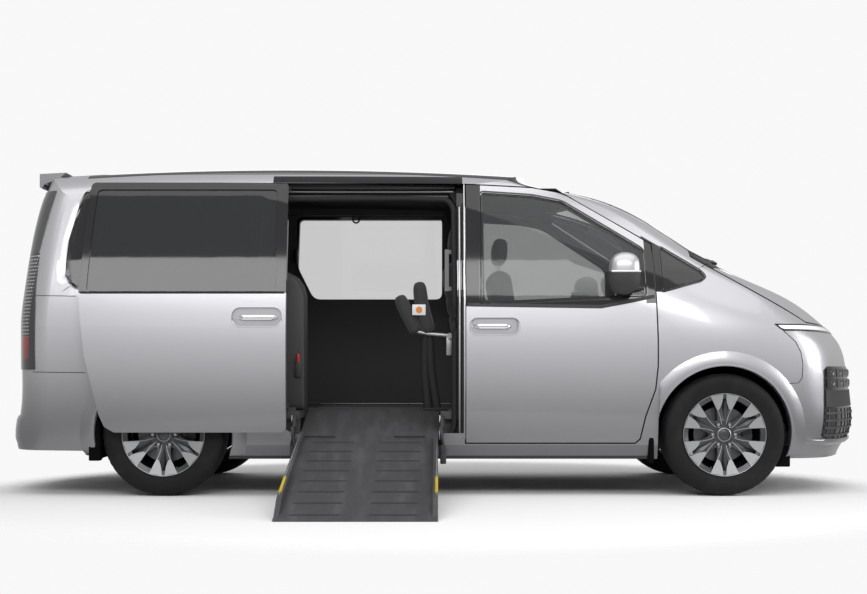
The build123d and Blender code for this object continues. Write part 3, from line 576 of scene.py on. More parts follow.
def on_side(x, z, side, out=0.0):
    """a point on the closed body's skin, out from it"""
    sign = -1 if side == "right" else 1
    return Vector((x, MID + sign * (half_width(x, z) + out), z))


def place(where, x, z, out):
    if where == "open":
        return Vector((x, MID - (half_width(x + DOOR_TRAVEL, z) - DOOR_OUT) - out, z))
    return on_side(x, z, where, out)


def spaced(points, step, closed=False):
    """points along a polyline, one every step or less"""
    loop = points + [points[0]] if closed else points
    result = []
    for a, b in zip(loop, loop[1:]):
        count = max(1, int(hypot(b[0] - a[0], b[1] - a[1]) / step))
        result += [(a[0] + (b[0] - a[0]) * i / count, a[1] + (b[1] - a[1]) * i / count) for i in range(count)]
    return result + [loop[-1]]


def rounded(points, radius, closed=True, count=5):
    """a polyline with round corners"""
    n = len(points)
    result = []
    for i, p in enumerate(points):
        if not closed and i in (0, n - 1):
            result.append(p)
            continue
        a, b = Vector(points[i - 1]), Vector(points[(i + 1) % n])
        p = Vector(p)
        r = min(radius, (a - p).length / 2.1, (b - p).length / 2.1)
        s, e = p + (a - p).normalized() * r, p + (b - p).normalized() * r
        for k in range(count + 1):
            t = k / count
            result.append(tuple(s * (1 - t) ** 2 + p * (2 * t * (1 - t)) + e * t ** 2))
    return result


def band(name, line, width, where, out=0.001, thick=0.003, closed=False, inset=0.0):
    """a strip that follows a line of (x, z) points on the body's skin"""
    pts = spaced(line, 0.03, closed)
    rows = []
    n = len(pts)
    for i, (x, z) in enumerate(pts):
        if closed:
            a, b = pts[(i - 1) % (n - 1)], pts[(i + 1) % (n - 1)]
        else:
            a, b = pts[max(i - 1, 0)], pts[min(i + 1, n - 1)]
        d = Vector((b[0] - a[0], b[1] - a[1])).normalized()
        side = Vector((-d.y, d.x))
        row = []
        for k in (-0.5, -0.17, 0.17, 0.5):
            q = Vector((x, z)) + side * (width * k + inset)
            row.append(place(where, q.x, q.y, out))
        rows.append(row)
    if closed:
        rows[-1] = rows[0]
    return skin(name, rows, thick=thick)


# Wheels

SPOKES = 6                  # pairs of spokes, and wheel nuts
NUT_CIRCLE = 0.066
LUGS = 56
LUG_GROOVE = 0.009


def tyre(key):
    cx, face, cz = WHEELS[key]
    side = key.split("_")[1]
    w, r = TYRE_WIDTH, TYRE_R
    half = [(0.226, 0.016), (0.238, 0.008), (0.246, 0.010), (0.262, 0.004), (0.300, 0.0005), (0.318, 0.002),
            (0.328, 0.006), (0.340, 0.010), (0.348, 0.020), (0.353, 0.030)]
    tread = []
    for at in (0.062, 0.100):
        tread += [(r - 0.002, at - 0.006), (r - LUG_GROOVE, at - 0.004), (r - LUG_GROOVE, at + 0.004),
                  (r - 0.001, at + 0.006)]
    profile = half + tread + [(r, w / 2)]
    profile += [(a, w - d) for a, d in reversed(half + tread)]
    obj = turned("treaded_" + key, profile, (cx, face, cz), side, 144)
    return done(obj, "wheel_" + key, RUBBER)


def lug_blocks(key):
    """shoulder blocks round the tread, cut by cross grooves"""
    blocks = []
    for near, far, edge in ((0.0285, 0.052, 0.0285),
                            (TYRE_WIDTH - 0.052, TYRE_WIDTH - 0.0285, TYRE_WIDTH - 0.0285)):
        for i in range(LUGS):
            a0, a1 = 2 * pi * (i + 0.12) / LUGS, 2 * pi * (i + 0.88) / LUGS
            rows = []
            for depth in (near, far):
                low = TYRE_R - LUG_GROOVE
                high = TYRE_R - (0.0035 if depth == edge else 0.0008)
                rows.append([wheel_polar(key, r, a, depth) for a, r in
                             ((a0, low), (a0, high), (a1, high), (a1, low), (a0, low))])
            blocks.append(skin("tread_block", rows, fill=True))
    return done(joined("tread_blocks_" + key, blocks), "wheel_" + key, RUBBER, 0)


def wheel_polar(key, r, angle, depth):
    cx, face, cz = WHEELS[key]
    inward = 1 if key.endswith("right") else -1
    return Vector((cx + r * sin(angle), face + inward * depth, cz + r * cos(angle)))


def alloy(key):
    """the wheel inside the tyre: barrel, spokes, hub, nuts and the brake disc behind them"""
    side = key.split("_")[1]
    centre = WHEELS[key]
    body = "wheel_" + key
    made = []

    def ring(name, profile, finish, count=96):
        made.append(done(turned(name + "_" + key, profile, centre, side, count), body, finish))

    def group(name, objs, finish, smooth=35):
        made.append(done(joined(name + "_" + key, objs), body, finish, smooth))

    ring("alloy_barrel", [(0.240, 0.009), (0.241, 0.012), (0.228, 0.016), (0.228, TYRE_WIDTH - 0.014),
                          (0.214, TYRE_WIDTH - 0.014), (0.210, 0.100), (0.206, 0.045), (0.212, 0.020),
                          (0.226, 0.014), (0.232, 0.010), (0.240, 0.009)], LACQUER)
    ring("alloy_edge", [(0.2412, 0.0022), (0.2418, 0.006), (0.2385, 0.007), (0.2384, 0.0030),
                        (0.2412, 0.0022)], BRIGHT)
    grey, bright = [], []
    for i in range(SPOKES):
        turn = 2 * pi * i / SPOKES
        grey.append(pocket(key, turn))
        for hand in (-1, 1):
            grey.append(spoke(key, turn, hand))
            bright += spoke_faces(key, turn, hand)
    group("alloy_spokes", grey, LACQUER, 30)
    group("alloy_faces", bright, BRIGHT, 30)
    ring("alloy_hub", [(0.0, 0.030), (0.034, 0.030), (0.046, 0.034), (0.082, 0.030), (0.090, 0.036),
                       (0.086, 0.075), (0.0, 0.075)], LACQUER, 72)
    ring("hub_cap", [(0.0, 0.017), (0.020, 0.018), (0.031, 0.021), (0.034, 0.026), (0.034, 0.034),
                     (0.0, 0.034)], LACQUER, 48)
    ring("hub_ring", [(0.034, 0.021), (0.036, 0.017), (0.040, 0.019), (0.042, 0.026), (0.042, 0.034),
                      (0.034, 0.034), (0.034, 0.021)], BRIGHT, 48)
    nuts, wells = [], []
    for i in range(SPOKES):
        at = wheel_polar(key, NUT_CIRCLE, 2 * pi * (i + 0.5) / SPOKES, 0)
        nut = [(0.0, 0.023), (0.008, 0.023), (0.011, 0.026), (0.011, 0.036)]
        nuts.append(turned("wheel_nut", nut, at, side, 6))
        well = [(0.0, 0.0285), (0.017, 0.0285), (0.019, 0.0272), (0.0195, 0.034)]
        wells.append(turned("nut_well", well, at, side, 24))
    group("wheel_nuts", nuts, STEEL)
    group("nut_wells", wells, GLOSS)
    # the dust shield's near-black is painted shade
    ring("dust_shield", [(0.05, 0.134), (0.200, 0.134), (0.204, 0.128), (0.206, 0.140), (0.05, 0.140),
                         (0.05, 0.134)], SHADED_BLACK, 64)
    ring("brake_disc", [(0.07, 0.100), (0.165, 0.100), (0.165, 0.112), (0.150, 0.112), (0.150, 0.118),
                        (0.165, 0.118), (0.165, 0.130), (0.07, 0.130)], DISC)
    return made


def dish(r):
    """depth of the spokes' front at a radius"""
    return 0.030 - 0.027 * max(0.0, (r - 0.07) / 0.17)


def wedge(key, turn, hand, stations, front, back):
    """a tapering bar outwards along the wheel; stations are (radius, inner edge, outer edge) in degrees"""
    rows = []
    for r, low, high in stations:
        a0, a1 = turn + hand * radians(low), turn + hand * radians(high)
        near, far = dish(r) + front, dish(r) + back
        corners = ((a0, near), (a1, near), (a1, far), (a0, far), (a0, near))
        rows.append([wheel_polar(key, r, a, depth) for a, depth in corners])
    return skin("wheel_wedge", rows, fill=True)


def spoke(key, turn, hand):
    """one spoke of a pair, between a pocket at turn and a deep opening"""
    stations = [(0.070, 3, 29), (0.095, 5, 24), (0.125, 6.5, 18.5), (0.160, 7.5, 16.5), (0.195, 7, 18),
                (0.232, 4, 21)]
    return wedge(key, turn, hand, stations, 0.003, 0.048)


def spoke_faces(key, turn, hand):
    """the machined parts of a spoke: a broad block at the rim and a thin line down to the hub"""
    broad = [(0.150, 11.5, 16.2), (0.166, 7.4, 17.4), (0.186, 4.4, 18.4), (0.214, 2.6, 19.4),
             (0.233, 2.6, 20.2), (0.2385, 1.4, 20.0)]
    line = [(0.060, 10.5, 14.5), (0.088, 10.4, 12.8), (0.118, 12.0, 13.8), (0.142, 13.8, 15.4),
            (0.165, 15.4, 17.2)]
    return [wedge(key, turn, hand, broad, 0.0, 0.004), wedge(key, turn, hand, line, 0.0012, 0.004)]


def pocket(key, turn):
    """the shallow dished web between two spokes of a pair"""
    rows = []
    for r, half, depth in ((0.085, 9, 0.036), (0.110, 8.5, 0.040), (0.150, 8.0, 0.044), (0.186, 5.0, 0.044),
                           (0.234, 2.8, 0.040)):
        a0, a1 = turn - radians(half), turn + radians(half)
        corners = ((a0, -0.008), (turn, 0), (a1, -0.008), (a1, 0.02), (a0, 0.02), (a0, -0.008))
        rows.append([wheel_polar(key, r, a, depth + d) for a, d in corners])
    return skin("spoke_pocket", rows, fill=True)


def caliper(key, carrier):
    rows = []
    for deg in (-118, -108, -95, -82, -72):
        a = radians(-deg)
        ends = 0.006 if deg in (-118, -72) else 0
        section = ((0.118 + ends, 0.084), (0.176 - ends, 0.080), (0.186 - ends, 0.095), (0.186 - ends, 0.140),
                   (0.118 + ends, 0.140), (0.118 + ends, 0.084))
        rows.append([wheel_polar(key, r, a, depth) for r, depth in section])
    obj = skin("brake_caliper_" + key, rows, fill=True)
    return done(obj, carrier, IRON)


def make_wheels():
    for key in WHEELS:
        obj = tyre(key)
        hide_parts("tyre_" + key)
        lug_blocks(key)
        pieces = alloy(key)
        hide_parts("rim_" + key)
        side = key.split("_")[1]
        caliper(key, "knuckle_" + side if key.startswith("front") else "root")


# Window rims, arches and handles

FRONT_GLASS = [(0.250, 1.120), (1.216, 1.166), (1.206, 1.445), (0.735, 1.742), (0.560, 1.775), (0.250, 1.792)]
QUARTER_RIM = [(-1.130, 1.200), (-2.115, 1.212), (-2.157, 1.262), (-2.167, 1.350), (-2.161, 1.500),
               (-2.104, 1.740), (-2.080, 1.795), (-1.130, 1.795)]
QUARTER_COVER = [(-2.165, 1.212), (-2.201, 1.262), (-2.206, 1.350), (-2.198, 1.500), (-2.142, 1.735)]
CORNER_GLASS = [(1.310, 1.196), (1.545, 1.262), (1.572, 1.285), (1.545, 1.318), (1.310, 1.462)]


def slide_place(side):
    """where a sliding door stands and how far along, for place and shifted"""
    return ("open", -DOOR_TRAVEL) if side == "right" else (side, 0)


def shifted(points, dx):
    return [(x + dx, z) for x, z in points]


def window_rims():
    for side in ("right", "left"):
        for name, outline, corner, width, body in (("front", FRONT_GLASS, 0.025, 0.022, "front_door_" + side),
                                                   ("quarter", QUARTER_RIM, 0.03, 0.022, "root"),
                                                   ("corner", CORNER_GLASS, 0.014, 0.020, "root")):
            line = rounded(outline, corner)
            rim = band("window_rim_%s_%s" % (name, side), line, width, side, 0.0005, 0.004, True)
            done(rim, body, GLOSS)
        cover = band("quarter_edge_" + side, QUARTER_COVER, 0.052, side, 0.0045, 0.003)
        done(cover, "root", PAINT)
        belt = [(0.172, 1.116), (0.95, 1.104), (1.13, 1.138), (1.262, 1.166)]
        rim = band("belt_strip_" + side, belt, 0.020, side, 0.001, 0.004)
        done(rim, "front_door_" + side, BLACK)
        where, dx = slide_place(side)
        belt = shifted([(-1.045, 1.182), (0.136, 1.182)], dx)
        rim = band("sliding_belt_strip_" + side, belt, 0.012, where, 0.001, 0.004)
        done(rim, "root", SEAL)


def arch_flares():
    profile = ((0.4005, -0.003), (0.4015, 0.008), (0.410, 0.0125), (0.428, 0.0125), (0.450, 0.0095),
               (0.470, 0.005), (0.487, 0.0004))
    for key, (cx, _, cz) in WHEELS.items():
        end, side = key.split("_")
        rows = []
        steps = 96
        low_turn = asin((0.236 - cz) / 0.4)
        for i in range(steps + 1):
            a = low_turn + (pi - 2 * low_turn) * i / steps
            limit = 9.0
            if end == "front" and cos(a) < 0:
                limit = (cx - FRONT_DOOR_EDGE) / -cos(a)
            row = []
            for r, out in profile:
                r = min(r, limit)
                row.append(on_side(cx + r * cos(a), max(cz + r * sin(a), 0.236), side, out))
            rows.append(row)
        flare = skin("arch_flare_" + key, rows, thick=0.0)
        done(flare, "root", PAINT, 60)


FRONT_DOOR_EDGE = 1.286


def pull_handle(name, x0, x1, z, body, where, depth):
    """a chrome-capped pull handle standing in its recess"""
    rows = []
    count = 24
    for i in range(count + 1):
        t = i / count
        x = x0 + (x1 - x0) * t
        end = min(1.0, 6 * t, 6 * (1 - t)) ** 0.5
        centre = place(where, x, z, -depth + 0.036 * end)
        ring = []
        for k in range(13):
            a = 2 * pi * k / 12
            ring.append((centre.x, centre.y + 0.008 * cos(a), centre.z + (0.0145 * end + 0.0005) * sin(a)))
        rows.append(ring)
    handle = skin(name, rows, fill=True)
    return done(handle, body, CHROME)


def handles():
    for side in ("right", "left"):
        pull_handle("door_handle_front_" + side, 0.195, 0.440, 0.990, "front_door_" + side, side, 0.026)
        where, dx = slide_place(side)
        pull_handle("door_handle_sliding_" + side, -0.150 + dx, 0.112 + dx, 1.038, "root", where, 0.026)
        line = rounded([(0.190, 0.940), (0.473, 0.940), (0.473, 1.036), (0.190, 1.036)], 0.045)
        rim = band("handle_rim_front_" + side, line, 0.006, side, 0.001, 0.003, True)
        done(rim, "front_door_" + side, PAINT)
        line = rounded(shifted([(-0.163, 0.985), (0.118, 0.985), (0.118, 1.091), (-0.163, 1.091)], dx), 0.05)
        rim = band("handle_rim_sliding_" + side, line, 0.006, where, 0.001, 0.003, True)
        done(rim, "root", PAINT)


# Mirrors

MIRROR_Z = 1.300            # the line between the painted cap and the black shell
MIRROR_FOOT = 1.174


def mirror_halves(side, lo, hi, tip, sign):
    """a painted cap above the middle line and a black shell below it"""
    caps, shells = [], []
    for i in range(13):
        t = i / 12
        y = tip - sign * (0.006 + 0.155 * t)
        grow = (1 - (2 * t - 1) ** 4) ** 0.5 * 0.5 + 0.5 if 0 < t < 1 else 0.42
        cx = lo.x + 0.110
        cap, low = [], []
        for k in range(25):
            a = pi * k / 24
            cap.append((cx + 0.087 * grow * cos(a), y,
                        MIRROR_Z + (hi.z - MIRROR_Z) * grow * sin(a) ** 0.55))
            low.append((cx - 0.010 + 0.100 * grow * cos(a), y,
                        MIRROR_Z - (MIRROR_Z - MIRROR_FOOT) * grow * sin(a) ** 0.6))
        caps.append(cap + cap[:1])
        shells.append(low + low[:1])
    body = "front_door_" + side
    cap = done(skin("mirror_cap_" + side, caps, fill=True), body, PAINT, 50)
    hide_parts("mirror_" + side)
    done(skin("mirror_shell_" + side, shells, fill=True), body, BLACK, 50)


def mirror_arm(side, tip, sign):
    """a flat arm from the door's corner to the mirror"""
    root_y = MID + sign * 0.925
    rows = []
    for t, w, h in ((0.0, 0.066, 0.028), (0.3, 0.066, 0.027), (0.7, 0.064, 0.024), (1.0, 0.060, 0.022)):
        y = root_y + (tip - sign * 0.150 - root_y) * t
        cx = 1.168 - 0.058 * t
        turns = [2 * pi * k / 16 for k in range(17)]
        rows.append([(cx + w * cos(a), y, 1.215 + h * sin(a)) for a in turns])
    done(skin("mirror_arm_" + side, rows, fill=True), "front_door_" + side, BLACK, 50)


def mirrors():
    for side, sign in (("right", -1), ("left", 1)):
        lo, hi = span("mirror_" + side)
        tip = lo.y if side == "right" else hi.y
        mirror_halves(side, lo, hi, tip, sign)
        y0, y1 = sorted((tip - sign * 0.004, tip - sign * 0.155))
        strip = bar("mirror_band_" + side, (lo.x + 0.024, y0, MIRROR_Z - 0.005),
                    (lo.x + 0.196, y1, MIRROR_Z + 0.006), 0.004, 3)
        done(strip, "front_door_" + side, CHROME)
        mirror_arm(side, tip, sign)


# Cabin trim

LINING_OFF = 0.064          # from the outer skin to the face of the inner trim
FAR_WINDOW = [(-1.000, 1.816), (0.030, 1.816), (0.030, 1.240), (-0.889, 1.240), (-1.000, 1.468)]
SLIDE_CARD = [(-1.070, 0.500), (-1.070, 1.850), (0.128, 1.850), (0.128, 0.500)]
FRONT_CARD = [(0.190, 0.345), (0.190, 1.840), (0.740, 1.790), (1.245, 1.460), (1.262, 1.120), (1.255, 0.660),
              (1.160, 0.345)]
FRONT_CARD_WINDOW = [(0.268, 1.135), (0.268, 1.775), (0.560, 1.757), (0.728, 1.725), (1.188, 1.438),
                     (1.198, 1.178)]
QUARTER_CARD = [(-1.075, 0.690), (-1.075, 1.850), (-2.120, 1.840), (-2.230, 1.310), (-2.240, 0.690)]
QUARTER_CARD_WINDOW = [(-1.150, 1.215), (-1.150, 1.780), (-2.080, 1.780), (-2.160, 1.529), (-2.180, 1.315),
                       (-2.105, 1.230)]


def reach(outline, cx, cz, angle):
    """where a ray from the middle leaves a closed outline"""
    dx, dz = cos(angle), sin(angle)
    best = 0.0
    for (x0, z0), (x1, z1) in zip(outline, outline[1:] + outline[:1]):
        ex, ez = x1 - x0, z1 - z0
        det = dx * ez - dz * ex
        if abs(det) > 1e-9:
            t = ((x0 - cx) * ez - (z0 - cz) * ex) / det
            u = ((x0 - cx) * dz - (z0 - cz) * dx) / det
            if t > 0 and -1e-6 <= u <= 1 + 1e-6:
                best = max(best, t)
    return best


def framed(name, outer, window, side, out, thick, count=120):
    """trim on the skin between an outline and the window in it"""
    cx = sum(p[0] for p in window) / len(window)
    cz = sum(p[1] for p in window) / len(window)
    inner = rounded(window, 0.05)
    turns = {2 * pi * i / count for i in range(count)}
    turns |= {atan2(z - cz, x - cx) % (2 * pi) for x, z in outer + inner}
    rows = [[], [], [], [], [], []]
    for a in sorted(turns):
        near, far = reach(inner, cx, cz, a), reach(outer, cx, cz, a)
        for k, row in enumerate(rows):
            r = near + (far - near) * (k - 1) / 4 if k else near
            lift = -0.018 if k == 0 else 0
            row.append(on_side(cx + r * cos(a), cz + r * sin(a), side, out + lift * -1))
    for row in rows:
        row.append(row[0])
    return skin(name, rows, thick=thick)


def cabin_trim():
    for side in ("right", "left"):
        card = framed("front_door_card_" + side, FRONT_CARD, FRONT_CARD_WINDOW, side, -LINING_OFF, 0.004)
        done(card, "front_door_" + side, CARD)
        card = framed("quarter_trim_" + side, QUARTER_CARD, QUARTER_CARD_WINDOW, side, -LINING_OFF, 0.004)
        done(card, "root", CARD)
    card = framed("sliding_door_card_left", SLIDE_CARD, FAR_WINDOW, "left", -LINING_OFF, 0.004)
    done(card, "root", CARD)
    headlining()
    far_window_fittings()


def headlining():
    tree = node_tree(["roof_panel", "body_side_left", "body_side_right"])
    rows = []
    for i in range(33):
        x = -2.25 + 3.05 * i / 32
        row = []
        for k in range(29):
            y = MID - 0.74 + 1.48 * k / 28
            at, _, _, _ = tree.ray_cast(Vector((x, y, 1.45)), Vector((0, 0, 1)))
            row.append(Vector((x, y, min(at.z if at is not None else 1.83, 1.92) - 0.008)))
        rows.append(row)
    done(skin("headlining", rows, thick=0.004), "root", LINING, 60)


def far_window_fittings():
    """a coat hook and the catch above and beside the far window"""
    y = MID + 0.76
    ring = [(-0.578 + 0.024 * cos(a), y, 1.800 + 0.026 * sin(a)) for a in
            (pi * k / 8 for k in range(17))]
    hook = joined("coat_hook", [rod("coat_hook", ring, 0.006), bar("hook_base", (-0.552, y - 0.01, 1.800),
                                                                  (-0.505, y + 0.05, 1.830), 0.005)])
    done(hook, "root", BLACK)
    y = MID + 0.80
    catch = bar("window_catch", (-1.015, y - 0.02, 1.492), (-0.992, y + 0.06, 1.590), 0.008)
    done(catch, "root", BLACK)


# Doorway

BAR_Y = -0.800              # the padded bar's plane, from the van's middle
DOORWAY_LOOP = [(-0.950, 1.755), (-0.20, 1.760), (0.055, 1.752), (0.093, 1.700), (0.097, 1.20),
                (0.097, 0.400), (0.060, 0.335), (0.020, 0.325)]


def pad(name, path, radius, flat):
    """a stuffed sleeve with round ends along a path"""
    rows = []
    count = len(path)
    for i, (x, z) in enumerate(path):
        t = i / (count - 1)
        end = max(0.0, 1 - (2 * t - 1) ** 6) ** 0.5
        a, b = path[max(i - 1, 0)], path[min(i + 1, count - 1)]
        ahead = Vector((b[0] - a[0], 0, b[1] - a[1])).normalized()
        u = Vector((ahead.z, 0, -ahead.x))
        v = Vector((0, 1, 0))
        centre = Vector((x, MID + BAR_Y, z))
        rows.append([centre + u * (radius * max(end, 0.02) * cos(2 * pi * k / 28)) +
                     v * (flat * max(end, 0.02) * sin(2 * pi * k / 28)) for k in range(29)])
    return skin(name, rows, fill=True)


def curve_points(points, count):
    """points on a smooth line through a few given ones"""
    result = []
    for i in range(count + 1):
        s = i / count * (len(points) - 1)
        k = min(int(s), len(points) - 2)
        t = s - k
        p = [Vector(points[max(0, min(len(points) - 1, j))]) for j in (k - 1, k, k + 1, k + 2)]
        q = (2 * p[1] + (p[2] - p[0]) * t + (2 * p[0] - 5 * p[1] + 4 * p[2] - p[3]) * t ** 2
             + (3 * p[1] - p[0] - 3 * p[2] + p[3]) * t ** 3) / 2
        result.append(tuple(q))
    return result


def assist_bar():
    """the padded bar that a passenger leans on beside the ramp, and its legs"""
    y = MID + BAR_Y
    plate = bar("bar_plate", (0.049, y - 0.010, 0.822), (0.092, y + 0.030, 0.940), 0.004)
    knob = rod("bar_knob", [(0.071, y - 0.030, 0.938), (0.071, y + 0.030, 0.938)], 0.017, 16)
    arm = rod("bar_arm", [(0.079, y, 0.939), (0.02, y, 0.944), (-0.06, y, 0.951), (-0.118, y, 0.962),
                          (-0.150, y, 0.990), (-0.172, y, 1.035)], 0.0125, 16)
    shelf = bar("bar_shelf", (0.085, y - 0.005, 0.850), (0.112, y + 0.025, 0.910), 0.003)
    done(joined("assist_bar", [plate, knob, arm, shelf]), "root", BRIGHT)
    path = curve_points([(-0.128, 0.955), (-0.158, 1.020), (-0.198, 1.100), (-0.232, 1.180)], 28)
    sleeve = pad("assist_pad_rear", path, 0.040, 0.034)
    finish_pad(sleeve)
    path = curve_points([(-0.050, 0.955), (-0.075, 1.040), (-0.098, 1.140), (-0.113, 1.262)], 32)
    sleeve = pad("assist_pad_front", path, 0.043, 0.036)
    finish_pad(sleeve)
    patch = bar("plain_patch", (-0.153, y - 0.0405, 1.060), (-0.073, y - 0.030, 1.124), 0.003)
    done(patch, "root", WHITE)
    spot = rod("plain_spot", [(-0.112, y - 0.043, 1.092), (-0.112, y - 0.036, 1.092)], 0.019, 28)
    done(spot, "root", ORANGE)
    legs = []
    for foot, top in (((-0.005, 0.500), (-0.052, 0.975)), ((-0.060, 0.500), (-0.074, 0.960))):
        path = curve_points([foot, ((foot[0] + top[0]) / 2 - 0.012, 0.740), top], 14)
        legs.append(rod("bar_leg", [(x, y + 0.03, z) for x, z in path], 0.026, 14))
    legs.append(bar("bar_foot", (-0.085, y - 0.03, 0.4945), (0.055, y + 0.07, 0.512), 0.005))
    done(joined("assist_bar_legs", legs), "root", SEAL)


def finish_pad(sleeve):
    puff(sleeve, 0.005, 0.006)
    done(sleeve, "root", CLOTH, 60)


def doorway():
    loop = rounded(DOORWAY_LOOP, 0.09, closed=False, count=8)
    path = [(x, MID - half_width(x, min(z, 1.72)) + 0.055 + max(0, z - 1.72) * 0.3, z)
            for x, z in spaced(loop, 0.03)]
    done(rod("doorway_seal", path, 0.017, 12), "root", SEAL, 60)
    strip = [(x, MID - half_width(x, 1.70) + 0.085, 1.800) for x in (-1.0, -0.6, -0.2, 0.09)]
    done(rod("upper_track_lip", strip, 0.004, 10), "root", STEEL)
    strip = [(x, MID - half_width(x, 1.70) + 0.105, 1.775) for x in (-1.0, -0.6, -0.2, 0.06)]
    done(rod("headlining_edge", strip, 0.006, 10), "root", TRIM)
    for name, x in (("pillar_edge_rear", 0.1265), ("pillar_edge_front", 0.158)):
        line = [(x, MID - half_width(0.16, z) + 0.012, z) for z in (0.335, 0.7, 1.0, 1.2, 1.45, 1.70)]
        done(rod(name, line, 0.006, 10), "root", PAINT)
    line = [(0.142, MID - half_width(0.16, z) + 0.004, z) for z in (0.335, 0.7, 1.0, 1.2, 1.45, 1.72)]
    done(rod("pillar_seal", line, 0.0045, 10), "root", SEAL)
    assist_bar()
    side_trim()
    sill()


def side_trim():
    """the padded trim over the wheel house, seen at the doorway's rear, with a belt buckle in it"""
    y0, y1 = MID - 0.740, MID - 0.500
    rows = []
    for x, top in ((-1.02, 1.300), (-0.96, 1.322), (-0.90, 1.325), (-0.855, 1.300), (-0.820, 1.250),
                   (-0.803, 1.190)):
        section = ((y1, 0.500), (y0 + 0.02, 0.500), (y0, 0.540), (y0, 0.900), (y0 + 0.015, top - 0.03),
                   (y0 + 0.05, top), (y1, top), (y1, 0.500))
        rows.append([(x, y, z) for y, z in section])
    trim = skin("wheel_house_trim", rows, fill=True)
    apply(trim, "BEVEL", width=0.012, segments=3)
    done(trim, "root", CARD)
    buckle = bar("belt_buckle", (-0.845, y0 - 0.016, 0.780), (-0.829, y0 + 0.006, 0.832), 0.004)
    done(buckle, "root", RED)
    housing = bar("buckle_housing", (-0.858, y0 - 0.012, 0.690), (-0.818, y0 + 0.006, 0.792), 0.006)
    done(housing, "root", BLACK)


def sill():
    """hinge ends, arms and a foot beside the ramp"""
    y = MID - 0.965
    pieces = []
    tree = node_tree(["ramp", "bridging_plate", "floor_pan"])
    for x in (-0.69, -0.165):
        at, _, _, _ = tree.ray_cast(Vector((x, y + 0.02, 1.0)), Vector((0, 0, -1)))
        lo, hi = (x - 0.09, y + 0.010, at.z), (x + 0.09, y + 0.030, at.z + 0.008)
        pieces.append(bar("ramp_latch", lo, hi, 0.002))
    done(joined("ramp_latches", pieces), "root", BLACK)
    for side, x in (("rear", -0.842), ("front", 0.022)):
        line = [(x, y + 0.03, 0.46), (x, y - 0.02, 0.40), (x, y - 0.045, 0.30), (x, y - 0.03, 0.235)]
        arm = rod("ramp_side_arm_" + side, line, 0.017, 12)
        done(arm, "root", BLACK)
        line = [(x - 0.012, y + 0.01, 0.47), (x - 0.012, y - 0.035, 0.33)]
        edge = rod("ramp_side_edge_" + side, line, 0.004, 8)
        done(edge, "root", BRIGHT)
    foot = bar("ramp_foot", (0.012, y - 0.050, 0.190), (0.048, y - 0.015, 0.245), 0.006)
    done(foot, "root", BLACK)


# Ramp

RAMP_TREE = node_tree(["ramp"])


def ramp_point(x, y, lift):
    at, _, _, _ = RAMP_TREE.ray_cast(Vector((x, y, 2.0)), Vector((0, 0, -1)))
    if at is None:
        return Vector((x, y, lift))
    return at + Vector((0, 0, lift))


def ramp_detail():
    """flat black marks in two columns for the pressed slots, their dark look painted shade of the ribs, light
    edges on the curbs and yellow strips at their lower ends
    """
    lo, hi = span("ramp")
    hinge_y, foot_y = MID - 0.950, lo.y
    slots = []
    for k in range(8):
        y = hinge_y + (foot_y - hinge_y) * (0.077 + 0.124 * k)
        for x0, x1 in ((-0.728, -0.480), (-0.338, -0.098)):
            outline = rounded([(x0, y - 0.011), (x1, y - 0.011), (x1, y + 0.011), (x0, y + 0.011)], 0.011)
            outline.append(outline[0])
            cx, cy = (x0 + x1) / 2, y
            middle_row = [ramp_point(cx, cy, 0.0006)] * len(outline)
            edge_row = [ramp_point(px, py, 0.0006) for px, py in outline]
            inner_row = [ramp_point(cx + (px - cx) * 0.96, cy + (py - cy) * 0.6, 0.0006)
                         for px, py in outline]
            slots.append(skin("ramp_slot", [middle_row, inner_row, edge_row]))
    # painted shade: the slots are flat black sheets lying on the ramp, not pressed into it
    done(joined("ramp_slots", slots), "ramp", BLACK, 0)
    edges, strips = [], []
    for x in (lo.x + 0.0235, hi.x - 0.0235):
        x = x - 0.006 if x < -0.4 else x + 0.006
        run = foot_y + 0.22 - hinge_y + 0.12
        points = [ramp_point(x, hinge_y - 0.12 + run * i / 10, 0.001) for i in range(11)]
        edges.append(rod("curb_edge", points, 0.0035, 8))
        low = [ramp_point(x, foot_y + 0.50 - 0.24 * i / 4, 0.002) for i in range(5)]
        strips.append(rod("yellow_strip", low, 0.008, 8))
    done(joined("curb_edges", edges), "ramp", STEEL)
    done(joined("yellow_strips", strips), "ramp", YELLOW)


# Seats

def puff(obj, voxel, cap):
    """swells a closed form like a filled cover, by cloth under a light pressure"""
    apply(obj, "REMESH", mode="VOXEL", voxel_size=voxel)
    start = [v.co.copy() for v in obj.data.vertices]
    hold(obj)
    bpy.ops.object.modifier_add(type="CLOTH")
    cover = obj.modifiers[-1]
    cover.settings.use_pressure = True
    cover.settings.uniform_pressure_force = 4
    cover.settings.effector_weights.gravity = 0
    cover.point_cache.frame_start, cover.point_cache.frame_end = 1, 12
    scene = bpy.context.scene
    for frame_number in range(1, 13):
        scene.frame_set(frame_number)
    shaped = obj.evaluated_get(bpy.context.evaluated_depsgraph_get()).data
    moved = [v.co.copy() for v in shaped.vertices]
    obj.modifiers.remove(cover)
    scene.frame_set(1)
    for v, a, b in zip(obj.data.vertices, start, moved):
        step = b - a
        if step.length > cap:
            step = step.normalized() * cap
        v.co = a + step
    apply(obj, "SUBSURF", levels=1, render_levels=1)


def sewn(obj, seams, depth, width=0.009):
    """draws the surface in along seams; a seam is (axis, place, lower and upper limit on each other axis)"""
    for v in obj.data.vertices:
        pull = 0.0
        for axis, at, limits in seams:
            if all(lo <= v.co[k] <= hi for k, lo, hi in limits):
                pull = max(pull, 2.718 ** -(((v.co[axis] - at) / width) ** 2))
        if pull > 0.02:
            v.co = v.co - v.normal * (depth * pull)


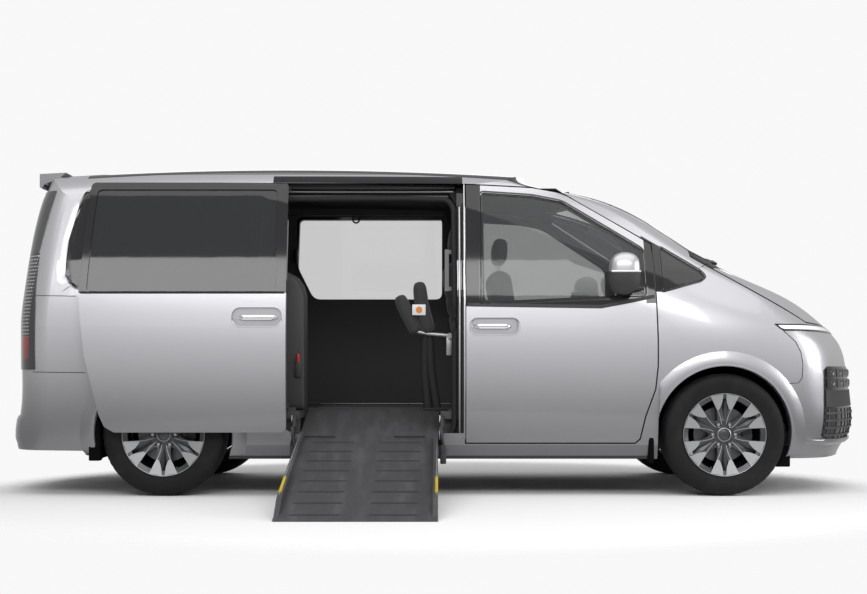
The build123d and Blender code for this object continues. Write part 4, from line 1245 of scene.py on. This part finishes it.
def cushion(name, lo, hi, seams, lean, pivot, voxel, bevel=0.045):
    """a padded block with sewn channels, leaned back about a crosswise line"""
    obj = bar(name, lo, hi, bevel, 5)
    puff(obj, voxel, 0.022)
    sewn(obj, seams, 0.010)
    c, n = cos(lean), sin(lean)
    for v in obj.data.vertices:
        x, z = v.co.x - pivot[0], v.co.z - pivot[1]
        v.co.x, v.co.z = pivot[0] + x * c - z * n, pivot[1] + x * n + z * c
    return done(obj, "root", CLOTH, 60)


def seat_parts(prefix, x, y, z, half, places, voxel):
    """cushion and back over the seat's CAD form; places are the middles of the single places on it"""
    edge = 0.012
    wide = half / places
    middles = [y - half + wide * (2 * i + 1) for i in range(places)]
    seams, backs = [], []
    for m in middles:
        for side in (-1, 1):
            if places == 1 or 0 < abs(m + side * wide - y) < half - 0.01:
                seams.append((1, m + side * (0.155 if places == 1 else wide), ()))
                backs.append((1, m + side * (0.150 if places == 1 else wide), ()))
        inner = ((1, m - wide * 0.62, m + wide * 0.62),)
        seams += [(0, x + d, inner) for d in (-0.09, 0.02, 0.13)]
        backs += [(2, z + d, inner) for d in (0.48, 0.60, 0.72)]
    base = cushion(prefix + "_cushion", (x - 0.245 + edge, y - half + edge, z + 0.222 + edge),
                   (x + 0.278 - edge, y + half - edge, z + 0.372 - edge), seams, radians(3), (x, z + 0.3),
                   voxel)
    back = cushion(prefix + "_back", (x - 0.275 + edge, y - half + edge, z + 0.300),
                   (x - 0.128 - edge, y + half - edge, z + 0.930), backs, radians(9.5),
                   (x - 0.20, z + 0.30), voxel)
    for i, m in enumerate(middles):
        rest = cushion(prefix + "_headrest_%d" % (i + 1), (x - 0.335, m - 0.135, z + 0.955),
                       (x - 0.240, m + 0.135, z + 1.125), [], radians(-4), (x - 0.29, z + 1.0), 0.014, 0.035)
        posts = [rod("headrest_post", [(x - 0.295, y, z + 0.86), (x - 0.290, y, z + 1.0)], 0.007, 10)
                 for y in (m - 0.05, m + 0.05)]
        done(joined(prefix + "_posts_%d" % (i + 1), posts), "root", CHROME)
    foot = bar(prefix + "_base", (x - 0.19, y - half + 0.04, z + 0.002),
               (x + 0.20, y + half - 0.04, z + 0.226), 0.02, 3)
    done(foot, "root", BLACK)
    return base


def seats():
    base = seat_parts("driver_seat", 0.700, MID + 0.385, 0.494, 0.250, 1, 0.018)
    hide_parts("driver_seat")
    base = seat_parts("passenger_seat", 0.400, MID - 0.385, 0.494, 0.250, 1, 0.018)
    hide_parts("passenger_seat")
    base = seat_parts("rear_bench", -1.450, MID, 0.640, 0.600, 3, 0.024)
    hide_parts("rear_bench")


# Nose and tail, whose pieces run round the corners

class Corner:
    """points on the skin seen from a vertical axis inside one end of the body"""

    def __init__(self, x, names):
        self.x, self.ahead = x, 1 if x > 0 else -1
        self.tree = node_tree(names)

    def at(self, turn, z, out=0.0):
        """turn in degrees from straight ahead, positive to the left side"""
        n = Vector((self.ahead * cos(radians(turn)), sin(radians(turn)), 0))
        hit, _, _, _ = self.tree.ray_cast(Vector((self.x, MID, z)) + n * 2.5, -n)
        return (hit if hit is not None else Vector((self.x, MID, z)) + n * 0.9) + n * out


NOSE = Corner(1.50, ["front_bumper", "front_grille", "front_fenders", "front_lamps", "bonnet"])
TAIL_END = Corner(-2.00, ["rear_bumper", "tail_lamps", "body_side_left", "body_side_right",
                          "tailgate", "rear_window"])


def between(x, pairs):
    """a value read off a few (x, value) pairs"""
    for (x0, v0), (x1, v1) in zip(pairs, pairs[1:]):
        if x <= x1 or (x1, v1) == pairs[-1]:
            t = min(1.0, max(0.0, (x - x0) / (x1 - x0)))
            return v0 + (v1 - v0) * t


def wrapped(name, corner, first, last, low, high, out, thick=0.0, steps=60, rows_up=4):
    """a strip round a corner; low and high are its edges' heights, or give them at a turn"""
    rows = []
    for i in range(steps + 1):
        turn = first + (last - first) * i / steps
        z0, z1 = (edge(turn) if callable(edge) else edge for edge in (low, high))
        rows.append([corner.at(turn, z0 + (z1 - z0) * k / rows_up, out) for k in range(rows_up + 1)])
    return skin(name, rows, thick=thick)


def ridge(name, corner, end, profile):
    """a rounded ledge round a corner, from (height, out) points, that dies away towards its ends"""
    rows = []
    for i in range(121):
        turn = end * (i / 60 - 1)
        grow = min(1.0, (end - abs(turn)) / 9) ** 0.5
        rows.append([corner.at(turn, z, out * grow) for z, out in profile])
    done(skin(name, rows), "root", PAINT, 60)


def light_bar():
    """the thin lamp across the nose, wide at its ends: a black frame and a white lens in it"""
    def top(turn):
        return between(abs(turn), [(0, 0.990), (30, 0.999), (45, 1.005), (63.6, 1.0065)])

    def low(turn):
        return between(abs(turn), [(0, 0.956), (30, 0.960), (45, 0.964), (61.4, 0.966), (63.6, 1.004)])

    frame_piece = wrapped("light_bar_frame", NOSE, -63.6, 63.6, low, top, 0.0025, 0.003, 150)
    done(frame_piece, "root", GLOSS, 50)
    lens = wrapped("light_bar_lens", NOSE, -62.6, 62.6, lambda t: min(low(t) + 0.010, top(t) - 0.010),
                   lambda t: top(t) - 0.008, 0.0048, 0.002, 150)
    done(lens, "root", LENS, 50)


CLUSTER_IN = 13             # degrees from straight ahead where a corner cluster ends
CLUSTER_OUT = 48.8
CUBE_ROWS = ((0.632, 0.684), (0.694, 0.744))
BUMPER_LIP = ((0.288, 0.001), (0.296, 0.020), (0.312, 0.028), (0.326, 0.022), (0.334, 0.001))
REAR_FORM = ((0.300, 0.001), (0.330, 0.014), (0.380, 0.021), (0.440, 0.021), (0.458, 0.014), (0.468, 0.001))


def cluster_low(turn):
    return between(abs(turn), [(12, 0.322), (47.2, 0.322), (48.8, 0.350)])


def cluster_high(turn):
    return between(abs(turn), [(12, 0.757), (47.2, 0.757), (48.8, 0.735)])


def lamp_bowl(turn, z):
    """the round reflector inside a lamp cube"""
    mid = NOSE.at(turn, z, 0.0115)
    n = (mid - Vector((NOSE.x, MID, mid.z))).normalized()
    u = Vector((-n.y, n.x, 0))
    rows = [ring_points(mid + n * d, r, u, Vector((0, 0, 1)), 20) for r, d in
            ((0.001, -0.004), (0.010, 0.0), (0.017, 0.003), (0.019, 0.001), (0.019, -0.006))]
    return skin("lamp_bowl", rows, fill=True)


def lamp_cubes(side, sign):
    lenses, bowls = [], []
    for z0, z1 in CUBE_ROWS:
        for k in range(5):
            t0 = CLUSTER_OUT - 0.8 - k * 6.4
            a0, a1 = sign * t0, sign * (t0 - 5.6)
            lenses.append(wrapped("lamp_cube", NOSE, a0, a1, z0, z1, 0.009, 0.006, 6, 3))
            bowls.append(lamp_bowl((a0 + a1) / 2, (z0 + z1) / 2))
    done(joined("lamp_cubes_" + side, lenses), "root", SMOKE, 30)
    done(joined("lamp_bowls_" + side, bowls), "root", DISC, 40)


def inlet_bars(side, sign):
    bars = [wrapped("inlet_bar", NOSE, sign * CLUSTER_OUT - sign * 0.3, sign * CLUSTER_IN, z, z + 0.012, 0.008,
                    0.010, 40, 2)
            for z in (0.345, 0.388, 0.431, 0.474)]
    for k in range(9):
        turn = sign * (CLUSTER_OUT - 1.5 - k * 3.9)
        bars.append(wrapped("inlet_post", NOSE, turn, turn - sign * 0.5, 0.333, 0.508, 0.005, 0.008, 1, 8))
    done(joined("inlet_bars_" + side, bars), "root", IRON, 30)


def grille_mesh():
    """the fine mesh between the corner clusters, and the dark panel behind it, whose near-black is painted
    shade
    """
    mesh = []
    for k in range(15):
        z = 0.335 + 0.028 * k
        mesh.append(wrapped("grille_bar", NOSE, -CLUSTER_IN, CLUSTER_IN, z, z + 0.010, 0.006, 0.012, 30, 2))
    for k in range(27):
        turn = -CLUSTER_IN + k
        mesh.append(wrapped("grille_post", NOSE, turn - 0.15, turn + 0.15, 0.335, 0.740, 0.004, 0.008, 1, 10))
    done(joined("grille_mesh", mesh), "root", BLACK, 30)
    # painted shade: the backing's near-black stands in for the shade behind the mesh
    backing = wrapped("grille_backing", NOSE, -CLUSTER_IN, CLUSTER_IN, 0.325, 0.750, 0.001, 0.003, 30, 8)
    done(backing, "root", SHADED_BLACK, 50)


def front_clusters():
    """lamp cubes, a plain band and a barred air inlet at each corner of the nose"""
    for side, sign in (("right", -1), ("left", 1)):
        first, last = sign * CLUSTER_OUT, sign * CLUSTER_IN
        housing = wrapped("front_cluster_" + side, NOSE, first, last, cluster_low, cluster_high, 0.003, 0.004,
                          60, 16)
        done(housing, "root", GLOSS, 50)
        plain = wrapped("cluster_band_" + side, NOSE, first - sign * 0.4, last, 0.518, 0.616, 0.007, 0.006)
        done(plain, "root", BLACK, 50)
        lamp_cubes(side, sign)
        inlet_bars(side, sign)
    grille_mesh()
    ridge("bumper_lip", NOSE, 54, BUMPER_LIP)


def tail_units():
    """tall lamps on the rear corners, from the spoiler to the bumper"""
    edge = [(0.735, 70.6), (1.126, 70.2), (1.43, 68.9), (1.80, 71.5)]
    for side, sign in (("right", -1), ("left", 1)):
        rows = []
        for i in range(61):
            z = 0.738 + (1.802 - 0.738) * i / 60
            first = between(z, edge)
            rows.append([TAIL_END.at(sign * (first + (49 - first) * k / 10), z, 0.004) for k in range(11)])
        done(skin("tail_lamp_" + side, rows, thick=0.006), "root", TAIL, 50)
    ridge("rear_bumper_form", TAIL_END, 66, REAR_FORM)
    for side, sign in (("right", -1), ("left", 1)):
        lens = wrapped("rear_reflector_" + side, TAIL_END, sign * 34, sign * 43, 0.340, 0.372, 0.020, 0.008, 12,
                       3)
        done(lens, "root", RED, 50)
    for name, half, low, high, out, thick, finish, slot in (
            ("plate_recess", 24, 0.900, 1.060, 0.003, 0.004, BLACK, "black_plastic"),
            ("bare_plate", 21, 0.925, 1.035, 0.007, 0.002, WHITE, "black_plastic"),
            ("gate_handle", 20, 1.078, 1.108, 0.012, 0.016, CHROME, "alloy")):
        rows_up = 3 if name == "gate_handle" else 4
        piece = wrapped(name, TAIL_END, -half, half, low, high, out, thick, 40, rows_up)
        done(piece, "tailgate", finish, 50)


def seams():
    """dark shut lines that part.py leaves as one surface"""
    lines = {"fender_seam": [(2.018, 0.968), (2.093, 0.900), (2.123, 0.840), (2.135, 0.770), (2.131, 0.690),
                             (2.109, 0.660), (1.966, 0.652)],
             "pillar_seam": [(1.535, 1.335), (1.592, 1.362)],
             "rear_upper_seam": [(-2.345, 1.170), (-2.110, 1.166)],
             "rear_lower_seam": [(-2.362, 0.724), (-2.050, 0.720)]}
    for name, line in lines.items():
        for side in ("right", "left"):
            strip = band(name + "_" + side, line, 0.0032, side, 0.0012, 0.001)
            done(strip, "root", SEAL)


def mud_flaps():
    for side, sign in (("right", -1), ("left", 1)):
        for name, x0, x1, z0, z1, bulge in (("rear", -2.040, -1.972, 0.205, 0.440, 0.004),
                                            ("front", 1.228, 1.262, 0.190, 0.400, 0.004),
                                            ("front_liner_tip", 1.985, 2.075, 0.165, 0.290, -0.012)):
            w0 = half_width((x0 + x1) / 2, 0.32)
            ys = sorted((MID + sign * (w0 - 0.055), MID + sign * (w0 + bulge)))
            flap = bar("mud_flap_%s_%s" % (name, side), (x0, ys[0], z0), (x1, ys[1], z1), 0.008, 3)
            # the flaps' near-black is painted shade
            done(flap, "root", SHADED_BLACK)


# Windscreen edges and wipers

def screen_trim():
    tree = node_tree(["windscreen", "body_side_left", "body_side_right", "roof_panel", "front_fenders",
                      "cowl_panel", "bonnet", "front_door_left"])
    mesh = NODES["windscreen"].data
    edge = {}
    for v in mesh.vertices:
        k = round(v.co.x * 20)
        edge[k] = max(edge.get(k, 0.0), v.co.y - MID)
    for side, sign in (("right", -1), ("left", 1)):
        rows = []
        for k in sorted(edge):
            x, w = k / 20, edge[k]
            if not 0.75 <= x <= 1.75:
                continue
            row = []
            for d in (-0.125, -0.105, -0.070, -0.030, 0.0, 0.012):
                y = MID + sign * (w + d)
                at, _, _, _ = tree.ray_cast(Vector((x, y, 2.6)), Vector((0, 0, -1)))
                lift = 0.006 if d > -0.12 else 0.0
                row.append(Vector((x, y, (at.z if at is not None else 1.4) + lift)))
            rows.append(row)
        done(skin("screen_pillar_" + side, rows, thick=0.003), "root", PAINT, 60)
    for name, foot, tip in (("near", (1.70, -0.56), (1.665, 0.04)), ("far", (1.735, 0.02), (1.67, 0.60))):
        path = []
        for i in range(15):
            t = i / 14
            x, y = foot[0] + (tip[0] - foot[0]) * t, MID + foot[1] + (tip[1] - foot[1]) * t
            at, _, _, _ = tree.ray_cast(Vector((x, y, 2.6)), Vector((0, 0, -1)))
            path.append((x, y, at.z + 0.013 + 0.006 * sin(pi * t)))
        done(rod("wiper_" + name, path, 0.009, 10), "root", BLACK)


# Floor, light and camera

FLOOR_COLOUR = (0.93, 0.93, 0.93, 1)
FLOOR_FADE = (2.55, 3.05)     # the floor's own shade ends between these distances
BACKDROP = 0.94
WORLD_LIGHT = 0.45


def wire(tree, *pairs):
    for out, into in pairs:
        tree.links.new(out, into)


def make_floor():
    """a pale floor that fades out round the van"""
    rest_all()
    bpy.ops.mesh.primitive_plane_add(size=30, location=(0, 0, -0.001))
    ground = bpy.context.object
    ground.name = "studio_floor"
    material = bpy.data.materials.new("studio_floor")
    material.use_nodes = True
    tree = material.node_tree
    shader = tree.nodes["Principled BSDF"]
    shader.inputs["Base Color"].default_value = FLOOR_COLOUR
    shader.inputs["Roughness"].default_value = 0.9
    at = tree.nodes.new("ShaderNodeTexCoord")
    radius = tree.nodes.new("ShaderNodeVectorMath")
    radius.operation = "LENGTH"
    fade = tree.nodes.new("ShaderNodeMapRange")
    fade.interpolation_type = "SMOOTHSTEP"
    fade.inputs[1].default_value, fade.inputs[2].default_value = FLOOR_FADE
    clear = tree.nodes.new("ShaderNodeBsdfTransparent")
    pick = tree.nodes.new("ShaderNodeMixShader")
    wire(tree, (at.outputs["Object"], radius.inputs[0]), (radius.outputs["Value"], fade.inputs[0]),
         (fade.outputs[0], pick.inputs[0]), (shader.outputs[0], pick.inputs[1]),
         (clear.outputs[0], pick.inputs[2]), (pick.outputs[0], tree.nodes["Material Output"].inputs[0]))
    ground.data.materials.append(material)


def make_backdrop():
    """even light from all round, and a plain backdrop that only the camera sees"""
    world = bpy.data.worlds.new("studio")
    bpy.context.scene.world = world
    world.use_nodes = True
    tree = world.node_tree
    light = tree.nodes["Background"]
    light.inputs["Color"].default_value = (1, 1, 1, 1)
    light.inputs["Strength"].default_value = WORLD_LIGHT
    white = tree.nodes.new("ShaderNodeBackground")
    white.inputs["Color"].default_value = (BACKDROP, BACKDROP, BACKDROP, 1)
    white.inputs["Strength"].default_value = 1.0
    path = tree.nodes.new("ShaderNodeLightPath")
    seen = tree.nodes.new("ShaderNodeMath")
    seen.operation = "MAXIMUM"
    pick = tree.nodes.new("ShaderNodeMixShader")
    wire(tree, (path.outputs["Is Camera Ray"], seen.inputs[0]),
         (path.outputs["Is Transmission Ray"], seen.inputs[1]), (seen.outputs[0], pick.inputs[0]),
         (light.outputs[0], pick.inputs[1]), (white.outputs[0], pick.inputs[2]),
         (pick.outputs[0], tree.nodes["World Output"].inputs[0]))


def area_light(name, location, aim, size, size_y, power):
    rest_all()
    bpy.ops.object.light_add(type="AREA", location=location)
    lamp = bpy.context.object
    lamp.name = name
    lamp.data.shape = "RECTANGLE"
    lamp.data.size, lamp.data.size_y, lamp.data.energy = size, size_y, power
    lamp.rotation_euler = (Vector(aim) - Vector(location)).to_track_quat("-Z", "Y").to_euler()


def make_lights():
    area_light("overhead_light", (0, -2.6, 6.0), (0, -0.2, 0.8), 10, 4, 170)
    area_light("side_light", (0.0, -8.4, 5.0), (0, 0, 1.0), 9, 2.4, 360)
    area_light("front_light", (8.0, -3.0, 2.4), (2.2, 0, 0.8), 4, 3, 220)
    area_light("back_light", (0.0, 8.0, 4.0), (0, 0, 0.9), 8, 3, 120)


CAMERA_PLACE = (0, -8.569, 0.732)
CAMERA_LENS = 58.46
CAMERA_SHIFT = (-0.0052, 0.0849)


def make_camera():
    rest_all()
    bpy.ops.object.camera_add(location=CAMERA_PLACE, rotation=(pi / 2, 0, 0))
    camera = bpy.context.object
    camera.data.lens = CAMERA_LENS
    camera.data.sensor_width = 36
    camera.data.shift_x, camera.data.shift_y = CAMERA_SHIFT
    bpy.context.scene.camera = camera


bpy.context.scene.view_settings.view_transform = "Standard"
dress_nodes()
make_wheels()
window_rims()
arch_flares()
handles()
mirrors()
cabin_trim()
doorway()
seats()
ramp_detail()
light_bar()
front_clusters()
tail_units()
seams()
mud_flaps()
screen_trim()
make_floor()
make_backdrop()
make_lights()
make_camera()
